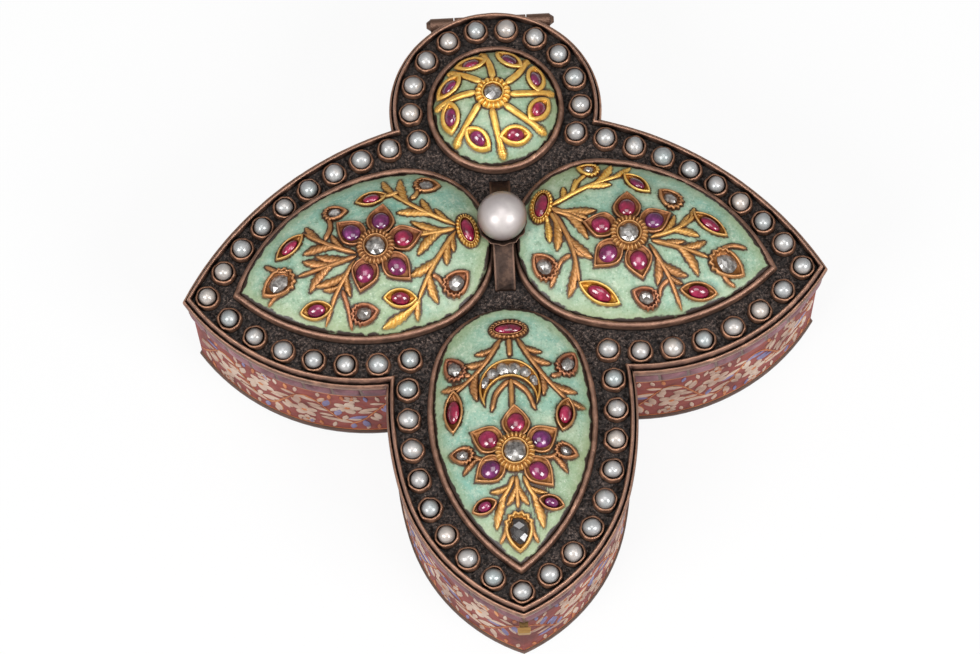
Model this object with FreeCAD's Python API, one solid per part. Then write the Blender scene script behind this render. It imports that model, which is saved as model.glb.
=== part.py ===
import FreeCAD, Part
import math
import os
from collections import namedtuple

# A jewel box with a four-lobed outline, in millimetres: a round lobe at the hinge and three pointed
# lobes. +X is to the right, +Y to the hinge, +Z up. The origin is on the underside, on the line
# between the two side tips.

Vector = FreeCAD.Vector
UP = Vector(0, 0, 1)
RIGHT = Vector(1, 0, 0)
BACK = Vector(0, 1, 0)

# Outline of the lid from above: the round lobe, then the right-hand edges towards the front tip
ROUND_CENTRE_Y = 31.2
ROUND_RADIUS = 17.5
UPPER_NECK_Y = 28.3
SIDE_TIP_X = 52.2
SIDE_UPPER_RADIUS = 58.0
SIDE_LOWER_RADIUS = 36.0
LOWER_NECK_Y = -16.3
FRONT_HALF_WIDTH = 20.1
FRONT_WIDEST_Y = -21.0
FRONT_UPPER_RADIUS = 56.0
FRONT_LOWER_RADIUS = 30.5
FRONT_TIP_Y = -55.6

# Base
FLOOR_THICK = 1.2
WALL_HEIGHT = 19.0
ENAMEL_INSET = 1.0
ENAMEL_THICK = 0.4
WALL_THICK = 1.0
FOOT_HEIGHT = 1.1
FOOT_PROUD = 0.35
FOOT_BEVEL = 0.3
BAND_HEIGHT = 0.8
BAND_PROUD = 0.15
LIP_HEIGHT = 3.0
LIP_CLEARANCE = 0.3

# Lid
PARTING_GAP = 0.25
SKIRT_HEIGHT = 4.3
SKIRT_INSET = 0.5
SKIRT_THICK = 0.8
RIM_HEIGHT = 2.6
RIM_WIDTH = 1.35
RIM_BEVEL = 0.3
RIM_STEP = 0.5
RIM_LOWER_RIDGE = 1.4
PLATE_THICK = 1.1
GROUND_DROP = 1.4

# Enamel lappets that hang on the skirt
LAPPET_LENGTH = 4.4
LAPPET_GAP = 0.45
LAPPET_HEIGHT = 2.4
LAPPET_THICK = 0.3
LAPPET_DROP = 0.35

# Pearl border
PEARL_RADIUS = 1.5
PEARL_CENTRE_LIFT = 1.1
PEARL_COLLET_RADIUS = 2.1
PEARL_COLLET_GAP = 0.05
PEARL_COLLET_WALL = 0.3
PEARL_COLLET_HEIGHT = 1.2
PEARLS_ON_ROUND = 12
PEARLS_ON_SIDE_UPPER = 8
PEARLS_ON_SIDE_LOWER = 6
PEARLS_ON_FRONT = 8

# Domes and the bezels that hold them
SIDE_PETAL_TIP_MARGIN = 8.3
SIDE_PETAL_END_X = 15.7
SIDE_PETAL_END_Y = 6.4
SIDE_PETAL_END_RADIUS = 14.4
SIDE_PETAL_SIDE_RADIUS = 31.8
FRONT_PETAL_TIP_MARGIN = 6.7
FRONT_PETAL_END_Y = -17.4
FRONT_PETAL_END_RADIUS = 12.8
FRONT_PETAL_SIDE_RADIUS = 32.0
ROUND_DOME_Y = 30.6
ROUND_BEZEL_RADIUS = 11.25
BEZEL_WIDTH = 1.1
BEZEL_HEIGHT = 1.9
BEZEL_BEVEL = 0.35
DOME_HEIGHT = 5.8
DOME_RISE = 4.1
DOME_APEX_SHARE = 0.15

# Gold vines, gem settings and gems
VINE_THICK = 0.45
VINE_EDGE = 0.4
STEM_WIDTH = 0.7
LEAF_WIDTH = 1.25
SETTING_WALL = 0.45
SETTING_HEIGHT = 0.9
SETTING_SINK = 0.8
GEM_HEIGHT = 1.3
GEM_TOP_SHARE = 0.55
ROSETTE_RADIUS = 2.85
ROSETTE_WALL = 1.2
FLOWER_RADIUS = 2.95
FLOWER_PETAL_LENGTH = 4.3
FLOWER_PETAL_WIDTH = 4.0
FLOWER_STEP = 65.0
FLOWER_PETALS = 5
PINWHEEL_ARMS = 8
PINWHEEL_RUBY_LENGTH = 4.8
PINWHEEL_RUBY_WIDTH = 2.3
CRESCENT_OUTER_RADIUS = 4.8
CRESCENT_INNER_RADIUS = 4.0
CRESCENT_SHIFT = 2.75
CRESCENT_WALL = 0.4
CRESCENT_STONES = 7
CRESCENT_SWEEP = 190.0
CRESCENT_STONE_RADIUS = 0.6

# Pearl at the middle, on its strap
STRAP_WIDTH = 3.4
STRAP_THICK = 0.8
STRAP_RISE = 4.2
STRAP_FRONT_GAP = 3.4
STRAP_BACK_GAP = 1.0
CENTRE_PEARL_RADIUS = 4.0
CENTRE_PEARL_LIFT = 0.4
CUP_FOOT_RADIUS = 1.6
CUP_RIM_RADIUS = 3.1
CUP_HEIGHT = 1.7
PEG_RADIUS = 0.45
PEG_REACH = 3.4
PEG_FOOT = 0.3

# Hinge
KNUCKLE_RADIUS = 1.1
KNUCKLE_COUNT = 5
KNUCKLE_GAP = 0.15
HINGE_LENGTH = 20.0
HINGE_TUCK = 0.3
HINGE_WEB = 0.7
HINGE_WEB_GAP = 0.1
PIN_RADIUS = 0.6
PIN_CLEARANCE = 0.04
PIN_HEAD_RADIUS = 1.0
PIN_HEAD_LENGTH = 0.7
PIN_HEAD_TAPER = 0.5

# Push catch under the front tip
BUTTON_WIDTH = 2.1
BUTTON_HEIGHT = 1.5
BUTTON_THICK = 0.9
BUTTON_TRAVEL = 0.8
BUTTON_TRAVEL_SPARE = 0.2
BUTTON_DROP = 1.3
SHANK_WIDTH = 1.4
SHANK_HEIGHT = 1.0
SHANK_CLEARANCE = 0.1
TONGUE_WIDTH = 2.4
TONGUE_THICK = 0.7
TONGUE_CLEARANCE = 0.35
TONGUE_WINDOW_WIDTH = 1.2
TONGUE_WINDOW_HEIGHT = 1.0
HOOK_CLEARANCE = 0.2
HOOK_THICK = 0.7
HOOK_NOSE = 0.12
HOOK_TOP_LIFT = 2.4
SPRING_THICK = 0.35
SPRING_WIDTH = 2.8
SPRING_FOOT = 5.5
SPRING_GAP = 0.1
RIVET_RADIUS = 0.7
RIVET_DEPTH = 0.8
RIVET_HEAD_RADIUS = 1.15
RIVET_HEAD_HEIGHT = 0.5

# One overrun serves all cuts
OVERRUN = 1.0

# Heights that follow from the sizes above
SKIRT_Z = WALL_HEIGHT + PARTING_GAP
RIM_Z = SKIRT_Z + SKIRT_HEIGHT
RIM_TOP_Z = RIM_Z + RIM_HEIGHT
GROUND_Z = RIM_TOP_Z - GROUND_DROP
PLATE_Z = GROUND_Z - PLATE_THICK
APEX_Z = GROUND_Z + DOME_HEIGHT
WALL_INSET = ENAMEL_INSET + ENAMEL_THICK
INNER_INSET = WALL_INSET + WALL_THICK
SKIRT_INNER_INSET = SKIRT_INSET + SKIRT_THICK
LIP_INSET = SKIRT_INNER_INSET + LIP_CLEARANCE
PEARL_INSET = RIM_WIDTH + PEARL_COLLET_GAP + PEARL_COLLET_RADIUS
HINGE_Y = ROUND_CENTRE_Y + ROUND_RADIUS - HINGE_TUCK + KNUCKLE_RADIUS
HINGE_Z = WALL_HEIGHT + PARTING_GAP / 2
SHANK_Z = WALL_HEIGHT - BUTTON_DROP

# Places on each dome are shares. The first is along the petal, of the distance from a start near the
# middle of its round end to its tip; the second is across it, of the radius of its round end.
# The start of the side petals lies this share of their reach nearer to the tip.
SIDE_START_SHARE = 0.07

# Buds are pear-shaped diamonds and leaves are pointed rubies: blunt end, tip and width.
RIGHT_BUD_SHARES = [
    ((-0.13, 0.69), (-0.30, 0.65), 0.20),
    ((0.42, 0.36), (0.24, 0.57), 0.20),
    ((0.59, -0.11), (0.83, -0.12), 0.32),
    ((0.37, -0.68), (0.15, -0.66), 0.20),
    ((-0.27, -0.55), (-0.45, -0.35), 0.23),
]
RIGHT_RUBY_SHARES = [
    ((-0.02, 0.77), (0.17, 0.56), 0.17),
    ((0.46, 0.36), (0.66, 0.20), 0.16),
    ((0.47, -0.56), (0.67, -0.48), 0.18),
    ((-0.15, -0.60), (0.14, -0.76), 0.17),
]
RIGHT_OVAL_SHARES = [((-0.44, 0.42), (-0.44, 0.00), 0.20)]
LEFT_BUD_SHARES = [
    ((-0.19, 0.61), (-0.39, 0.55), 0.21),
    ((0.37, 0.65), (0.18, 0.70), 0.19),
    ((0.60, 0.06), (0.82, 0.06), 0.29),
    ((0.37, -0.46), (0.21, -0.50), 0.19),
    ((-0.19, -0.62), (-0.36, -0.50), 0.18),
]
LEFT_RUBY_SHARES = [
    ((-0.05, 0.70), (0.16, 0.58), 0.17),
    ((0.47, 0.56), (0.65, 0.41), 0.17),
    ((0.50, -0.36), (0.67, -0.20), 0.15),
    ((-0.07, -0.53), (0.14, -0.60), 0.15),
]
LEFT_OVAL_SHARES = [((-0.44, 0.24), (-0.44, -0.12), 0.20)]
FRONT_BUD_SHARES = [
    ((0.01, 0.64), (-0.11, 0.82), 0.23),
    ((0.00, -0.62), (-0.15, -0.76), 0.22),
    ((0.42, 0.54), (0.41, 0.81), 0.22),
    ((0.42, -0.53), (0.40, -0.78), 0.22),
    ((0.71, 0.00), (0.88, 0.00), 0.32),
]
FRONT_RUBY_SHARES = [
    ((0.12, 0.71), (0.31, 0.62), 0.20),
    ((0.09, -0.68), (0.27, -0.75), 0.21),
    ((0.71, 0.33), (0.68, 0.57), 0.24),
    ((0.69, -0.33), (0.69, -0.57), 0.23),
]
FRONT_OVAL_SHARES = [((-0.25, 0.23), (-0.25, -0.23), 0.27)]

# The flower of each petal: place of its centre, and the turn of its petals in degrees
FLOWER_SHARES = {"right": (0.10, 0.00), "left": (0.105, 0.03), "front": (0.41, 0.01)}
FLOWER_TURNS = {"right": -9.0, "left": 4.0, "front": 0.0}
CRESCENT_SHARE = 0.065

# Stems are arcs through three places, and leaves run from root to tip
RIGHT_STEM_SHARES = [
    ((-0.40, 0.22), (-0.20, 0.53), (0.00, 0.79)),
    ((-0.40, 0.19), (-0.25, 0.16), (-0.11, 0.23)),
    ((-0.40, 0.17), (-0.24, 0.03), (-0.13, -0.15)),
    ((-0.40, 0.14), (-0.22, -0.30), (-0.16, -0.76)),
    ((-0.22, -0.34), (-0.24, -0.44), (-0.28, -0.52)),
    ((0.20, -0.03), (0.35, 0.11), (0.48, 0.36)),
    ((0.20, -0.05), (0.40, -0.11), (0.66, -0.12)),
    ((0.20, -0.09), (0.37, -0.36), (0.50, -0.66)),
    ((0.35, -0.34), (0.38, -0.50), (0.35, -0.64)),
]
RIGHT_LEAF_SHARES = [
    ((-0.39, 0.30), (-0.27, 0.46)), ((-0.30, 0.39), (-0.25, 0.57)),
    ((-0.17, 0.54), (-0.04, 0.55)), ((-0.15, 0.66), (-0.11, 0.88)),
    ((-0.31, -0.06), (-0.30, -0.28)), ((-0.23, -0.18), (-0.08, -0.40)),
    ((-0.41, -0.05), (-0.34, -0.16)), ((0.31, 0.08), (0.33, 0.26)),
    ((0.35, 0.10), (0.49, 0.14)), ((0.43, -0.08), (0.56, 0.05)),
    ((0.42, -0.11), (0.53, -0.31)), ((0.29, -0.24), (0.31, -0.48)),
    ((0.33, -0.30), (0.47, -0.38)), ((0.80, -0.02), (0.77, 0.06)),
    ((0.74, -0.26), (0.78, -0.35)),
]
LEFT_STEM_SHARES = [
    ((-0.40, 0.04), (-0.19, 0.38), (-0.04, 0.84)),
    ((-0.40, 0.02), (-0.24, 0.08), (-0.12, 0.21)),
    ((-0.40, 0.00), (-0.24, 0.00), (-0.10, 0.03)),
    ((-0.32, -0.02), (-0.22, -0.07), (-0.13, -0.17)),
    ((-0.40, -0.04), (-0.20, -0.31), (-0.06, -0.64)),
    ((0.21, 0.06), (0.38, 0.39), (0.55, 0.69)),
    ((0.21, 0.05), (0.40, 0.09), (0.61, 0.08)),
    ((0.21, 0.00), (0.38, -0.17), (0.50, -0.41)),
    ((0.41, -0.23), (0.43, -0.36), (0.37, -0.45)),
    ((0.37, 0.40), (0.38, 0.60), (0.39, 0.80)),
    ((-0.17, -0.40), (-0.18, -0.60), (-0.19, -0.77)),
]
LEFT_LEAF_SHARES = [
    ((-0.41, 0.15), (-0.33, 0.28)), ((-0.29, 0.21), (-0.26, 0.40)),
    ((-0.18, 0.37), (-0.05, 0.47)), ((-0.16, 0.48), (-0.17, 0.77)),
    ((0.08, 0.74), (0.21, 0.82)), ((-0.27, -0.23), (-0.24, -0.42)),
    ((-0.19, -0.32), (-0.08, -0.41)), ((-0.42, -0.16), (-0.31, -0.26)),
    ((0.30, 0.22), (0.32, 0.44)), ((0.34, 0.26), (0.48, 0.33)),
    ((0.43, 0.10), (0.56, 0.26)), ((0.43, 0.08), (0.55, -0.05)),
    ((0.32, -0.09), (0.36, -0.26)), ((0.36, -0.11), (0.53, -0.18)),
    ((0.76, 0.18), (0.81, 0.25)), ((0.73, -0.08), (0.77, -0.16)),
]
FRONT_STEM_SHARES = [
    ((-0.18, 0.09), (-0.05, 0.42), (0.13, 0.70)),
    ((-0.18, -0.10), (-0.05, -0.44), (0.10, -0.69)),
    ((-0.18, 0.00), (-0.13, 0.00), (-0.07, 0.00)),
    ((0.05, 0.00), (0.15, 0.00), (0.26, 0.00)),
    ((0.51, 0.03), (0.60, 0.20), (0.79, 0.30)),
    ((0.51, -0.03), (0.60, -0.20), (0.79, -0.28)),
    ((0.51, 0.00), (0.60, 0.00), (0.72, 0.00)),
    ((0.42, 0.20), (0.42, 0.40), (0.42, 0.56)),
    ((0.42, -0.20), (0.42, -0.40), (0.42, -0.56)),
]
FRONT_LEAF_SHARES = [
    ((-0.18, 0.21), (-0.13, 0.40)), ((-0.10, 0.29), (-0.09, 0.52)),
    ((-0.04, 0.45), (0.11, 0.50)), ((0.02, 0.58), (0.08, 0.81)),
    ((0.12, 0.71), (0.18, 0.88)), ((-0.18, -0.22), (-0.14, -0.41)),
    ((-0.10, -0.31), (-0.09, -0.52)), ((-0.04, -0.46), (0.14, -0.51)),
    ((0.01, -0.60), (0.04, -0.86)), ((0.05, 0.05), (0.19, 0.27)),
    ((0.05, -0.05), (0.19, -0.27)), ((0.57, 0.15), (0.62, 0.31)),
    ((0.57, -0.15), (0.62, -0.31)), ((0.60, 0.01), (0.68, 0.16)),
    ((0.60, -0.01), (0.67, -0.15)), ((0.44, 0.40), (0.53, 0.52)),
    ((0.44, -0.42), (0.52, -0.62)), ((0.80, 0.14), (0.86, 0.22)),
    ((0.80, -0.14), (0.85, -0.23)),
]

# One arm of the pinwheel on the round dome, in shares of the bezel's radius; the rest are turned
ARM_STEM_SHARES = [((0.24, -0.14), (0.58, -0.06), (0.86, 0.10))]
ARM_RUBY_SHARE = (0.71, 0.24)
ARM_RUBY_TURN = 97.0

Petal = namedtuple("Petal", "centre along across reach end_radius side_radius half_width start_share")

# A collet, the stones that it holds, and the plain body that the vines make room for
Setting = namedtuple("Setting", "collet stones blank")


# Plane geometry

def unit(vector):
    return vector / vector.Length


def flipped(point):
    """Mirror image of a point in the plane of symmetry."""
    return Vector(-point.x, point.y, point.z)


def turned(vector, degrees):
    return FreeCAD.Rotation(UP, degrees).multVec(vector)


def lifted(point, z):
    return Vector(point.x, point.y, z)


def circle_through(start, end, radius):
    """Circle on the right-hand side of the way from start to end."""
    chord = end - start
    middle = (start + end) / 2
    depth = math.sqrt(radius**2 - (chord.Length / 2)**2)
    return middle + unit(Vector(chord.y, -chord.x)) * depth, radius


def crossing(first, second, near):
    """Point where two circles cross that lies nearest to another point."""
    (centre_a, radius_a), (centre_b, radius_b) = first, second
    between = centre_b - centre_a
    along = (radius_a**2 - radius_b**2 + between.Length**2) / (2 * between.Length)
    aside = math.sqrt(radius_a**2 - along**2)
    foot = centre_a + unit(between) * along
    normal = unit(Vector(-between.y, between.x))
    return min((foot + normal * aside, foot - normal * aside), key=lambda point: (point - near).Length)


def arc_on(circle, inset, start, end, z):
    """Arc of under half a circle between two points on an inset circle."""
    centre, radius = circle
    middle = centre + unit((start - centre) + (end - centre)) * (radius - inset)
    return Part.Arc(lifted(start, z), lifted(middle, z), lifted(end, z)).toShape()


def prism(wire, height):
    return Part.Face(wire).extrude(UP * height)


def plain_box(low, high):
    size = high - low
    return Part.makeBox(size.x, size.y, size.z, low)


def compound(shapes):
    return Part.makeCompound(list(shapes))


# Four-lobed outline

def outline_circles():
    """Circles of the right-hand edges from the back to the front, and the corners that they share."""
    round_centre = Vector(0, ROUND_CENTRE_Y)
    upper_neck_x = math.sqrt(ROUND_RADIUS**2 - (ROUND_CENTRE_Y - UPPER_NECK_Y)**2)
    upper_neck = Vector(upper_neck_x, UPPER_NECK_Y)
    side_tip = Vector(SIDE_TIP_X, 0)
    front_upper = (Vector(FRONT_HALF_WIDTH - FRONT_UPPER_RADIUS, FRONT_WIDEST_Y), FRONT_UPPER_RADIUS)
    neck_rise = LOWER_NECK_Y - FRONT_WIDEST_Y
    lower_neck_x = front_upper[0].x + math.sqrt(FRONT_UPPER_RADIUS**2 - neck_rise**2)
    lower_neck = Vector(lower_neck_x, LOWER_NECK_Y)
    front_tip = Vector(0, FRONT_TIP_Y)
    inner_circle = (front_upper[0], FRONT_UPPER_RADIUS - FRONT_LOWER_RADIUS)
    front_lower_centre = crossing(inner_circle, (front_tip, FRONT_LOWER_RADIUS), Vector())
    circles = [
        (round_centre, ROUND_RADIUS),
        circle_through(upper_neck, side_tip, SIDE_UPPER_RADIUS),
        circle_through(side_tip, lower_neck, SIDE_LOWER_RADIUS),
        front_upper,
        (front_lower_centre, FRONT_LOWER_RADIUS),
    ]
    return circles, (upper_neck, side_tip, lower_neck, front_tip)


CIRCLES, NOMINAL_CORNERS = outline_circles()
ROUND_EDGE, SIDE_UPPER_EDGE, SIDE_LOWER_EDGE, FRONT_UPPER_EDGE, FRONT_LOWER_EDGE = range(len(CIRCLES))


def corners(inset):
    """Ends of the right-hand edges at an inset, from the back to the front tip."""
    inner = [(centre, radius - inset) for centre, radius in CIRCLES]
    upper_neck, side_tip, lower_neck, front_tip = NOMINAL_CORNERS
    back = inner[ROUND_EDGE][0] + BACK * inner[ROUND_EDGE][1]
    upper_centre, upper_radius = inner[FRONT_UPPER_EDGE]
    lower_centre, lower_radius = inner[FRONT_LOWER_EDGE]
    joint = upper_centre + unit(lower_centre - upper_centre) * upper_radius
    return [
        back,
        crossing(inner[ROUND_EDGE], inner[SIDE_UPPER_EDGE], upper_neck),
        crossing(inner[SIDE_UPPER_EDGE], inner[SIDE_LOWER_EDGE], side_tip),
        crossing(inner[SIDE_LOWER_EDGE], inner[FRONT_UPPER_EDGE], lower_neck),
        joint,
        crossing(inner[FRONT_LOWER_EDGE], (flipped(lower_centre), lower_radius), front_tip),
    ]


def edge_arcs(edges, inset, z):
    """Arcs of some right-hand edges, in order towards the front."""
    ends = corners(inset)
    return [arc_on(CIRCLES[i], inset, ends[i], ends[i + 1], z) for i in edges]


def mirrored(shape):
    return shape.mirror(Vector(), RIGHT)


def outline_wire(inset, z):
    right = edge_arcs(range(len(CIRCLES)), inset, z)
    left = [mirrored(arc) for arc in reversed(right)]
    return Part.Wire(Part.__sortEdges__(right + left))


def outline_prism(inset, low, high):
    return prism(outline_wire(inset, low), high - low)


def ring(outer_inset, inner_inset, low, high):
    return outline_prism(outer_inset, low, high).cut(outline_prism(inner_inset, low, high))


def moulded_ring(profile, inner_inset):
    """Ring whose outside follows a profile of insets and heights."""
    body = Part.makeLoft([outline_wire(inset, z) for inset, z in profile], True, True)
    return body.cut(outline_prism(inner_inset, profile[0][1], profile[-1][1]))


def strip(edges, outer_inset, inner_inset, low, high):
    """Upright strip along some right-hand edges, mitred at the corners."""
    outer = edge_arcs(edges, outer_inset, low)
    inner = edge_arcs(edges, inner_inset, low)
    first, last = edges[0], edges[-1] + 1
    outer_ends = corners(outer_inset)
    inner_ends = corners(inner_inset)
    closing = [
        Part.makeLine(lifted(outer_ends[first], low), lifted(inner_ends[first], low)),
        Part.makeLine(lifted(outer_ends[last], low), lifted(inner_ends[last], low)),
    ]
    return prism(Part.Wire(Part.__sortEdges__(outer + inner + closing)), high - low)


def blocks_along(edge, outer_inset, inner_inset, low, high):
    """Short upright blocks in a row along one right-hand edge."""
    centre, radius = CIRCLES[edge]
    start, end = corners(outer_inset)[edge:edge + 2]
    outer, inner = radius - outer_inset, radius - inner_inset
    start_angle = math.atan2(start.y - centre.y, start.x - centre.x)
    sweep = (end - centre).getAngle(start - centre)
    count = max(1, round(sweep * outer / (LAPPET_LENGTH + LAPPET_GAP)))
    gap = LAPPET_GAP / outer
    blocks = []
    for k in range(count):
        from_angle = start_angle - sweep * k / count - gap / 2
        to_angle = start_angle - sweep * (k + 1) / count + gap / 2
        blocks.append(arc_block(centre, outer, inner, to_angle, from_angle, low, high))
    return blocks


def arc_block(centre, outer, inner, from_angle, to_angle, low, high):
    def at(radius, angle):
        return lifted(centre + Vector(math.cos(angle), math.sin(angle)) * radius, low)

    middle = (from_angle + to_angle) / 2
    outer_arc = Part.Arc(at(outer, from_angle), at(outer, middle), at(outer, to_angle)).toShape()
    inner_arc = Part.Arc(at(inner, to_angle), at(inner, middle), at(inner, from_angle)).toShape()
    first = Part.makeLine(at(outer, to_angle), at(inner, to_angle))
    last = Part.makeLine(at(inner, from_angle), at(outer, from_angle))
    return prism(Part.Wire([outer_arc, first, inner_arc, last]), high - low)


# Petals, bezels and domes

def make_petals():
    side_tip = Vector(SIDE_TIP_X - SIDE_PETAL_TIP_MARGIN, 0)
    side_end = Vector(SIDE_PETAL_END_X, SIDE_PETAL_END_Y)
    front_tip = Vector(0, FRONT_TIP_Y + FRONT_PETAL_TIP_MARGIN)
    front_end = Vector(0, FRONT_PETAL_END_Y)
    side_sizes = (SIDE_PETAL_END_RADIUS, SIDE_PETAL_SIDE_RADIUS, SIDE_START_SHARE)
    front_sizes = (FRONT_PETAL_END_RADIUS, FRONT_PETAL_SIDE_RADIUS, 0)
    return {
        "right": make_petal(side_end, side_tip, *side_sizes),
        "left": make_petal(flipped(side_end), flipped(side_tip), *side_sizes),
        "front": make_petal(front_end, front_tip, *front_sizes),
    }


def make_petal(end_centre, tip, end_radius, side_radius, start_share):
    along = unit(tip - end_centre)
    across = Vector(-along.y, along.x)
    reach = (tip - end_centre).Length
    _, depth = side_arc_centre(reach, end_radius, side_radius)
    return Petal(end_centre, along, across, reach, end_radius, side_radius, side_radius - depth, start_share)


def side_arc_centre(reach, end_radius, side_radius):
    """Place along and depth across of the centre of a petal's side arcs."""
    inner = side_radius - end_radius
    along = (inner**2 - side_radius**2 + reach**2) / (2 * reach)
    return along, math.sqrt(inner**2 - along**2)


def drop_wire(centre, along, across, reach, end_radius, side_radius, inset, z):
    """Drop shape: a round end, and two side arcs that meet in a point."""
    shift, depth = side_arc_centre(reach, end_radius, side_radius)
    radius = side_radius - inset
    tip = centre + along * (shift + math.sqrt(radius**2 - depth**2))
    side_centres = [centre + along * shift - across * side * depth for side in (1, -1)]
    joints = [centre + unit(centre - other) * (end_radius - inset) for other in side_centres]
    end = centre - along * (end_radius - inset)
    side_arcs = [arc_on((side_centres[i], side_radius), inset, tip, joints[i], z) for i in (0, 1)]
    end_arc = Part.Arc(lifted(joints[0], z), lifted(end, z), lifted(joints[1], z)).toShape()
    return Part.Wire(Part.__sortEdges__([side_arcs[0], end_arc, side_arcs[1]]))


def petal_wire(petal, inset, z):
    return drop_wire(petal.centre, petal.along, petal.across, petal.reach,
                     petal.end_radius, petal.side_radius, inset, z)


def round_wire(inset, z):
    circle = Part.makeCircle(ROUND_BEZEL_RADIUS - inset, Vector(0, ROUND_DOME_Y, z))
    return Part.Wire([circle])


PETALS = make_petals()
ROUND_PETAL = Petal(Vector(0, ROUND_DOME_Y), -BACK, RIGHT, ROUND_BEZEL_RADIUS,
                    ROUND_BEZEL_RADIUS, ROUND_BEZEL_RADIUS, ROUND_BEZEL_RADIUS, 0)


def bezel_wire(name, inset, z):
    if name == "round":
        return round_wire(inset, z)
    return petal_wire(PETALS[name], inset, z)


def make_bezel(name):
    top = GROUND_Z + BEZEL_HEIGHT
    profile = [
        (0, GROUND_Z),
        (0, top - BEZEL_BEVEL),
        (BEZEL_BEVEL, top),
    ]
    body = Part.makeLoft([bezel_wire(name, inset, z) for inset, z in profile], True, True)
    return body.cut(prism(bezel_wire(name, BEZEL_WIDTH, GROUND_Z), BEZEL_HEIGHT))


def dome_radii(petal):
    """Radii of a dome's crown along and across its petal, and the place of its apex along it."""
    half_width = petal.half_width - BEZEL_WIDTH
    across = (half_width**2 + DOME_RISE**2) / (2 * DOME_RISE)
    if petal is ROUND_PETAL:
        return across, across, 0
    apex = petal.reach * DOME_APEX_SHARE
    run = petal.reach - apex - BEZEL_WIDTH
    return (run**2 + DOME_RISE**2) / (2 * DOME_RISE), across, apex


def crown(petal, lift):
    """Round body whose top lies a little above the surface of the dome."""
    along, across, apex = dome_radii(petal)
    centre = lifted(petal.centre + petal.along * apex, APEX_Z - along)
    if petal is ROUND_PETAL:
        return Part.makeSphere(across + lift, centre)
    return Part.makeTorus(along - across, across + lift, centre, petal.across)


def petal_of(name):
    return ROUND_PETAL if name == "round" else PETALS[name]


def dome_column(name, inset):
    return prism(bezel_wire(name, inset, GROUND_Z), DOME_HEIGHT + OVERRUN)


def make_dome(name):
    return dome_column(name, BEZEL_WIDTH).common(crown(petal_of(name), 0))


# Gems and gold work on the domes

def plan_place(petal, share):
    """Plan place of a pair of shares on a petal."""
    along, across = share
    reach = (petal.start_share + (1 - petal.start_share) * along) * petal.reach
    return petal.centre + petal.along * reach + petal.across * (across * petal.end_radius)


def seat(petal, place, heading):
    """Placement on the dome, its Z along the surface normal and its X towards a plan heading."""
    along, across, apex = dome_radii(petal)
    offset = place - petal.centre
    du = offset.dot(petal.along) - apex
    dv = offset.dot(petal.across)
    radius = along - across + math.sqrt(across**2 - dv**2)
    z = APEX_Z - along + math.sqrt(radius**2 - du**2)
    tilt_along = math.asin(du / radius)
    tilt_across = math.asin(dv / across)
    normal = (petal.along * math.sin(tilt_along) + UP * math.cos(tilt_along)) * math.cos(tilt_across)
    normal = normal + petal.across * math.sin(tilt_across)
    return FreeCAD.Placement(lifted(place, z), FreeCAD.Rotation(heading, Vector(), normal, "ZXY"))


def pointed_wire(length, width, z):
    """Outline with two points and bulging sides."""
    tip, tail = Vector(length / 2, 0, z), Vector(-length / 2, 0, z)
    side = Vector(0, width / 2, z)
    other = Vector(0, -width / 2, z)
    return Part.Wire([Part.Arc(tip, side, tail).toShape(), Part.Arc(tail, other, tip).toShape()])


def bud_wire(length, width, z):
    """Drop outline, pointed towards +X and centred on its length."""
    end_radius = width / 2
    reach = length - end_radius
    side_radius = (reach**2 + end_radius**2) / (2 * end_radius)
    centre = Vector(end_radius - length / 2, 0)
    return drop_wire(centre, RIGHT, BACK, reach, end_radius, side_radius, 0, z)


def oval_wire(length, width, z):
    return Part.Wire([Part.Ellipse(Vector(0, 0, z), length / 2, width / 2).toShape()])


def make_setting(outline, length, width, wall):
    """Setting of an outline on the plane z = 0, sunk below it for a fit to the dome."""
    inner_length, inner_width = length - 2 * wall, width - 2 * wall
    blank = prism(outline(length, width, -SETTING_SINK), SETTING_SINK + SETTING_HEIGHT)
    hole = prism(outline(inner_length, inner_width, -SETTING_SINK), SETTING_SINK + SETTING_HEIGHT)
    top = outline(inner_length * GEM_TOP_SHARE, inner_width * GEM_TOP_SHARE, GEM_HEIGHT)
    foot = prism(outline(inner_length, inner_width, -SETTING_SINK), SETTING_SINK)
    stone = Part.makeLoft([outline(inner_length, inner_width, 0), top], True, True)
    return Setting(blank.cut(hole), [foot.fuse(stone).removeSplitter()], blank)


def seated(shape, placement):
    """Copy of a shape at a placement."""
    moved = shape.copy()
    moved.Placement = placement.multiply(shape.Placement)
    return moved


def seated_setting(setting, placement):
    """Copy of a setting at a placement."""
    stones = [seated(stone, placement) for stone in setting.stones]
    return Setting(seated(setting.collet, placement), stones, seated(setting.blank, placement))


def set_gems(petal, outline, rows):
    """Settings of one kind along a table of blunt ends, tips and widths."""
    settings = []
    for base_share, tip_share, width_share in rows:
        base = plan_place(petal, base_share)
        tip = plan_place(petal, tip_share)
        setting = make_setting(outline, (tip - base).Length, width_share * petal.end_radius, SETTING_WALL)
        settings.append(seated_setting(setting, seat(petal, (base + tip) / 2, unit(tip - base))))
    return settings


def round_wire_at_origin(length, width, z):
    return Part.Wire([Part.makeCircle(length / 2, Vector(0, 0, z))])


def make_rosette(petal, place):
    """Round collet with one diamond."""
    diameter = 2 * ROSETTE_RADIUS
    setting = make_setting(round_wire_at_origin, diameter, diameter, ROSETTE_WALL)
    return seated_setting(setting, seat(petal, place, petal.along))


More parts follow.
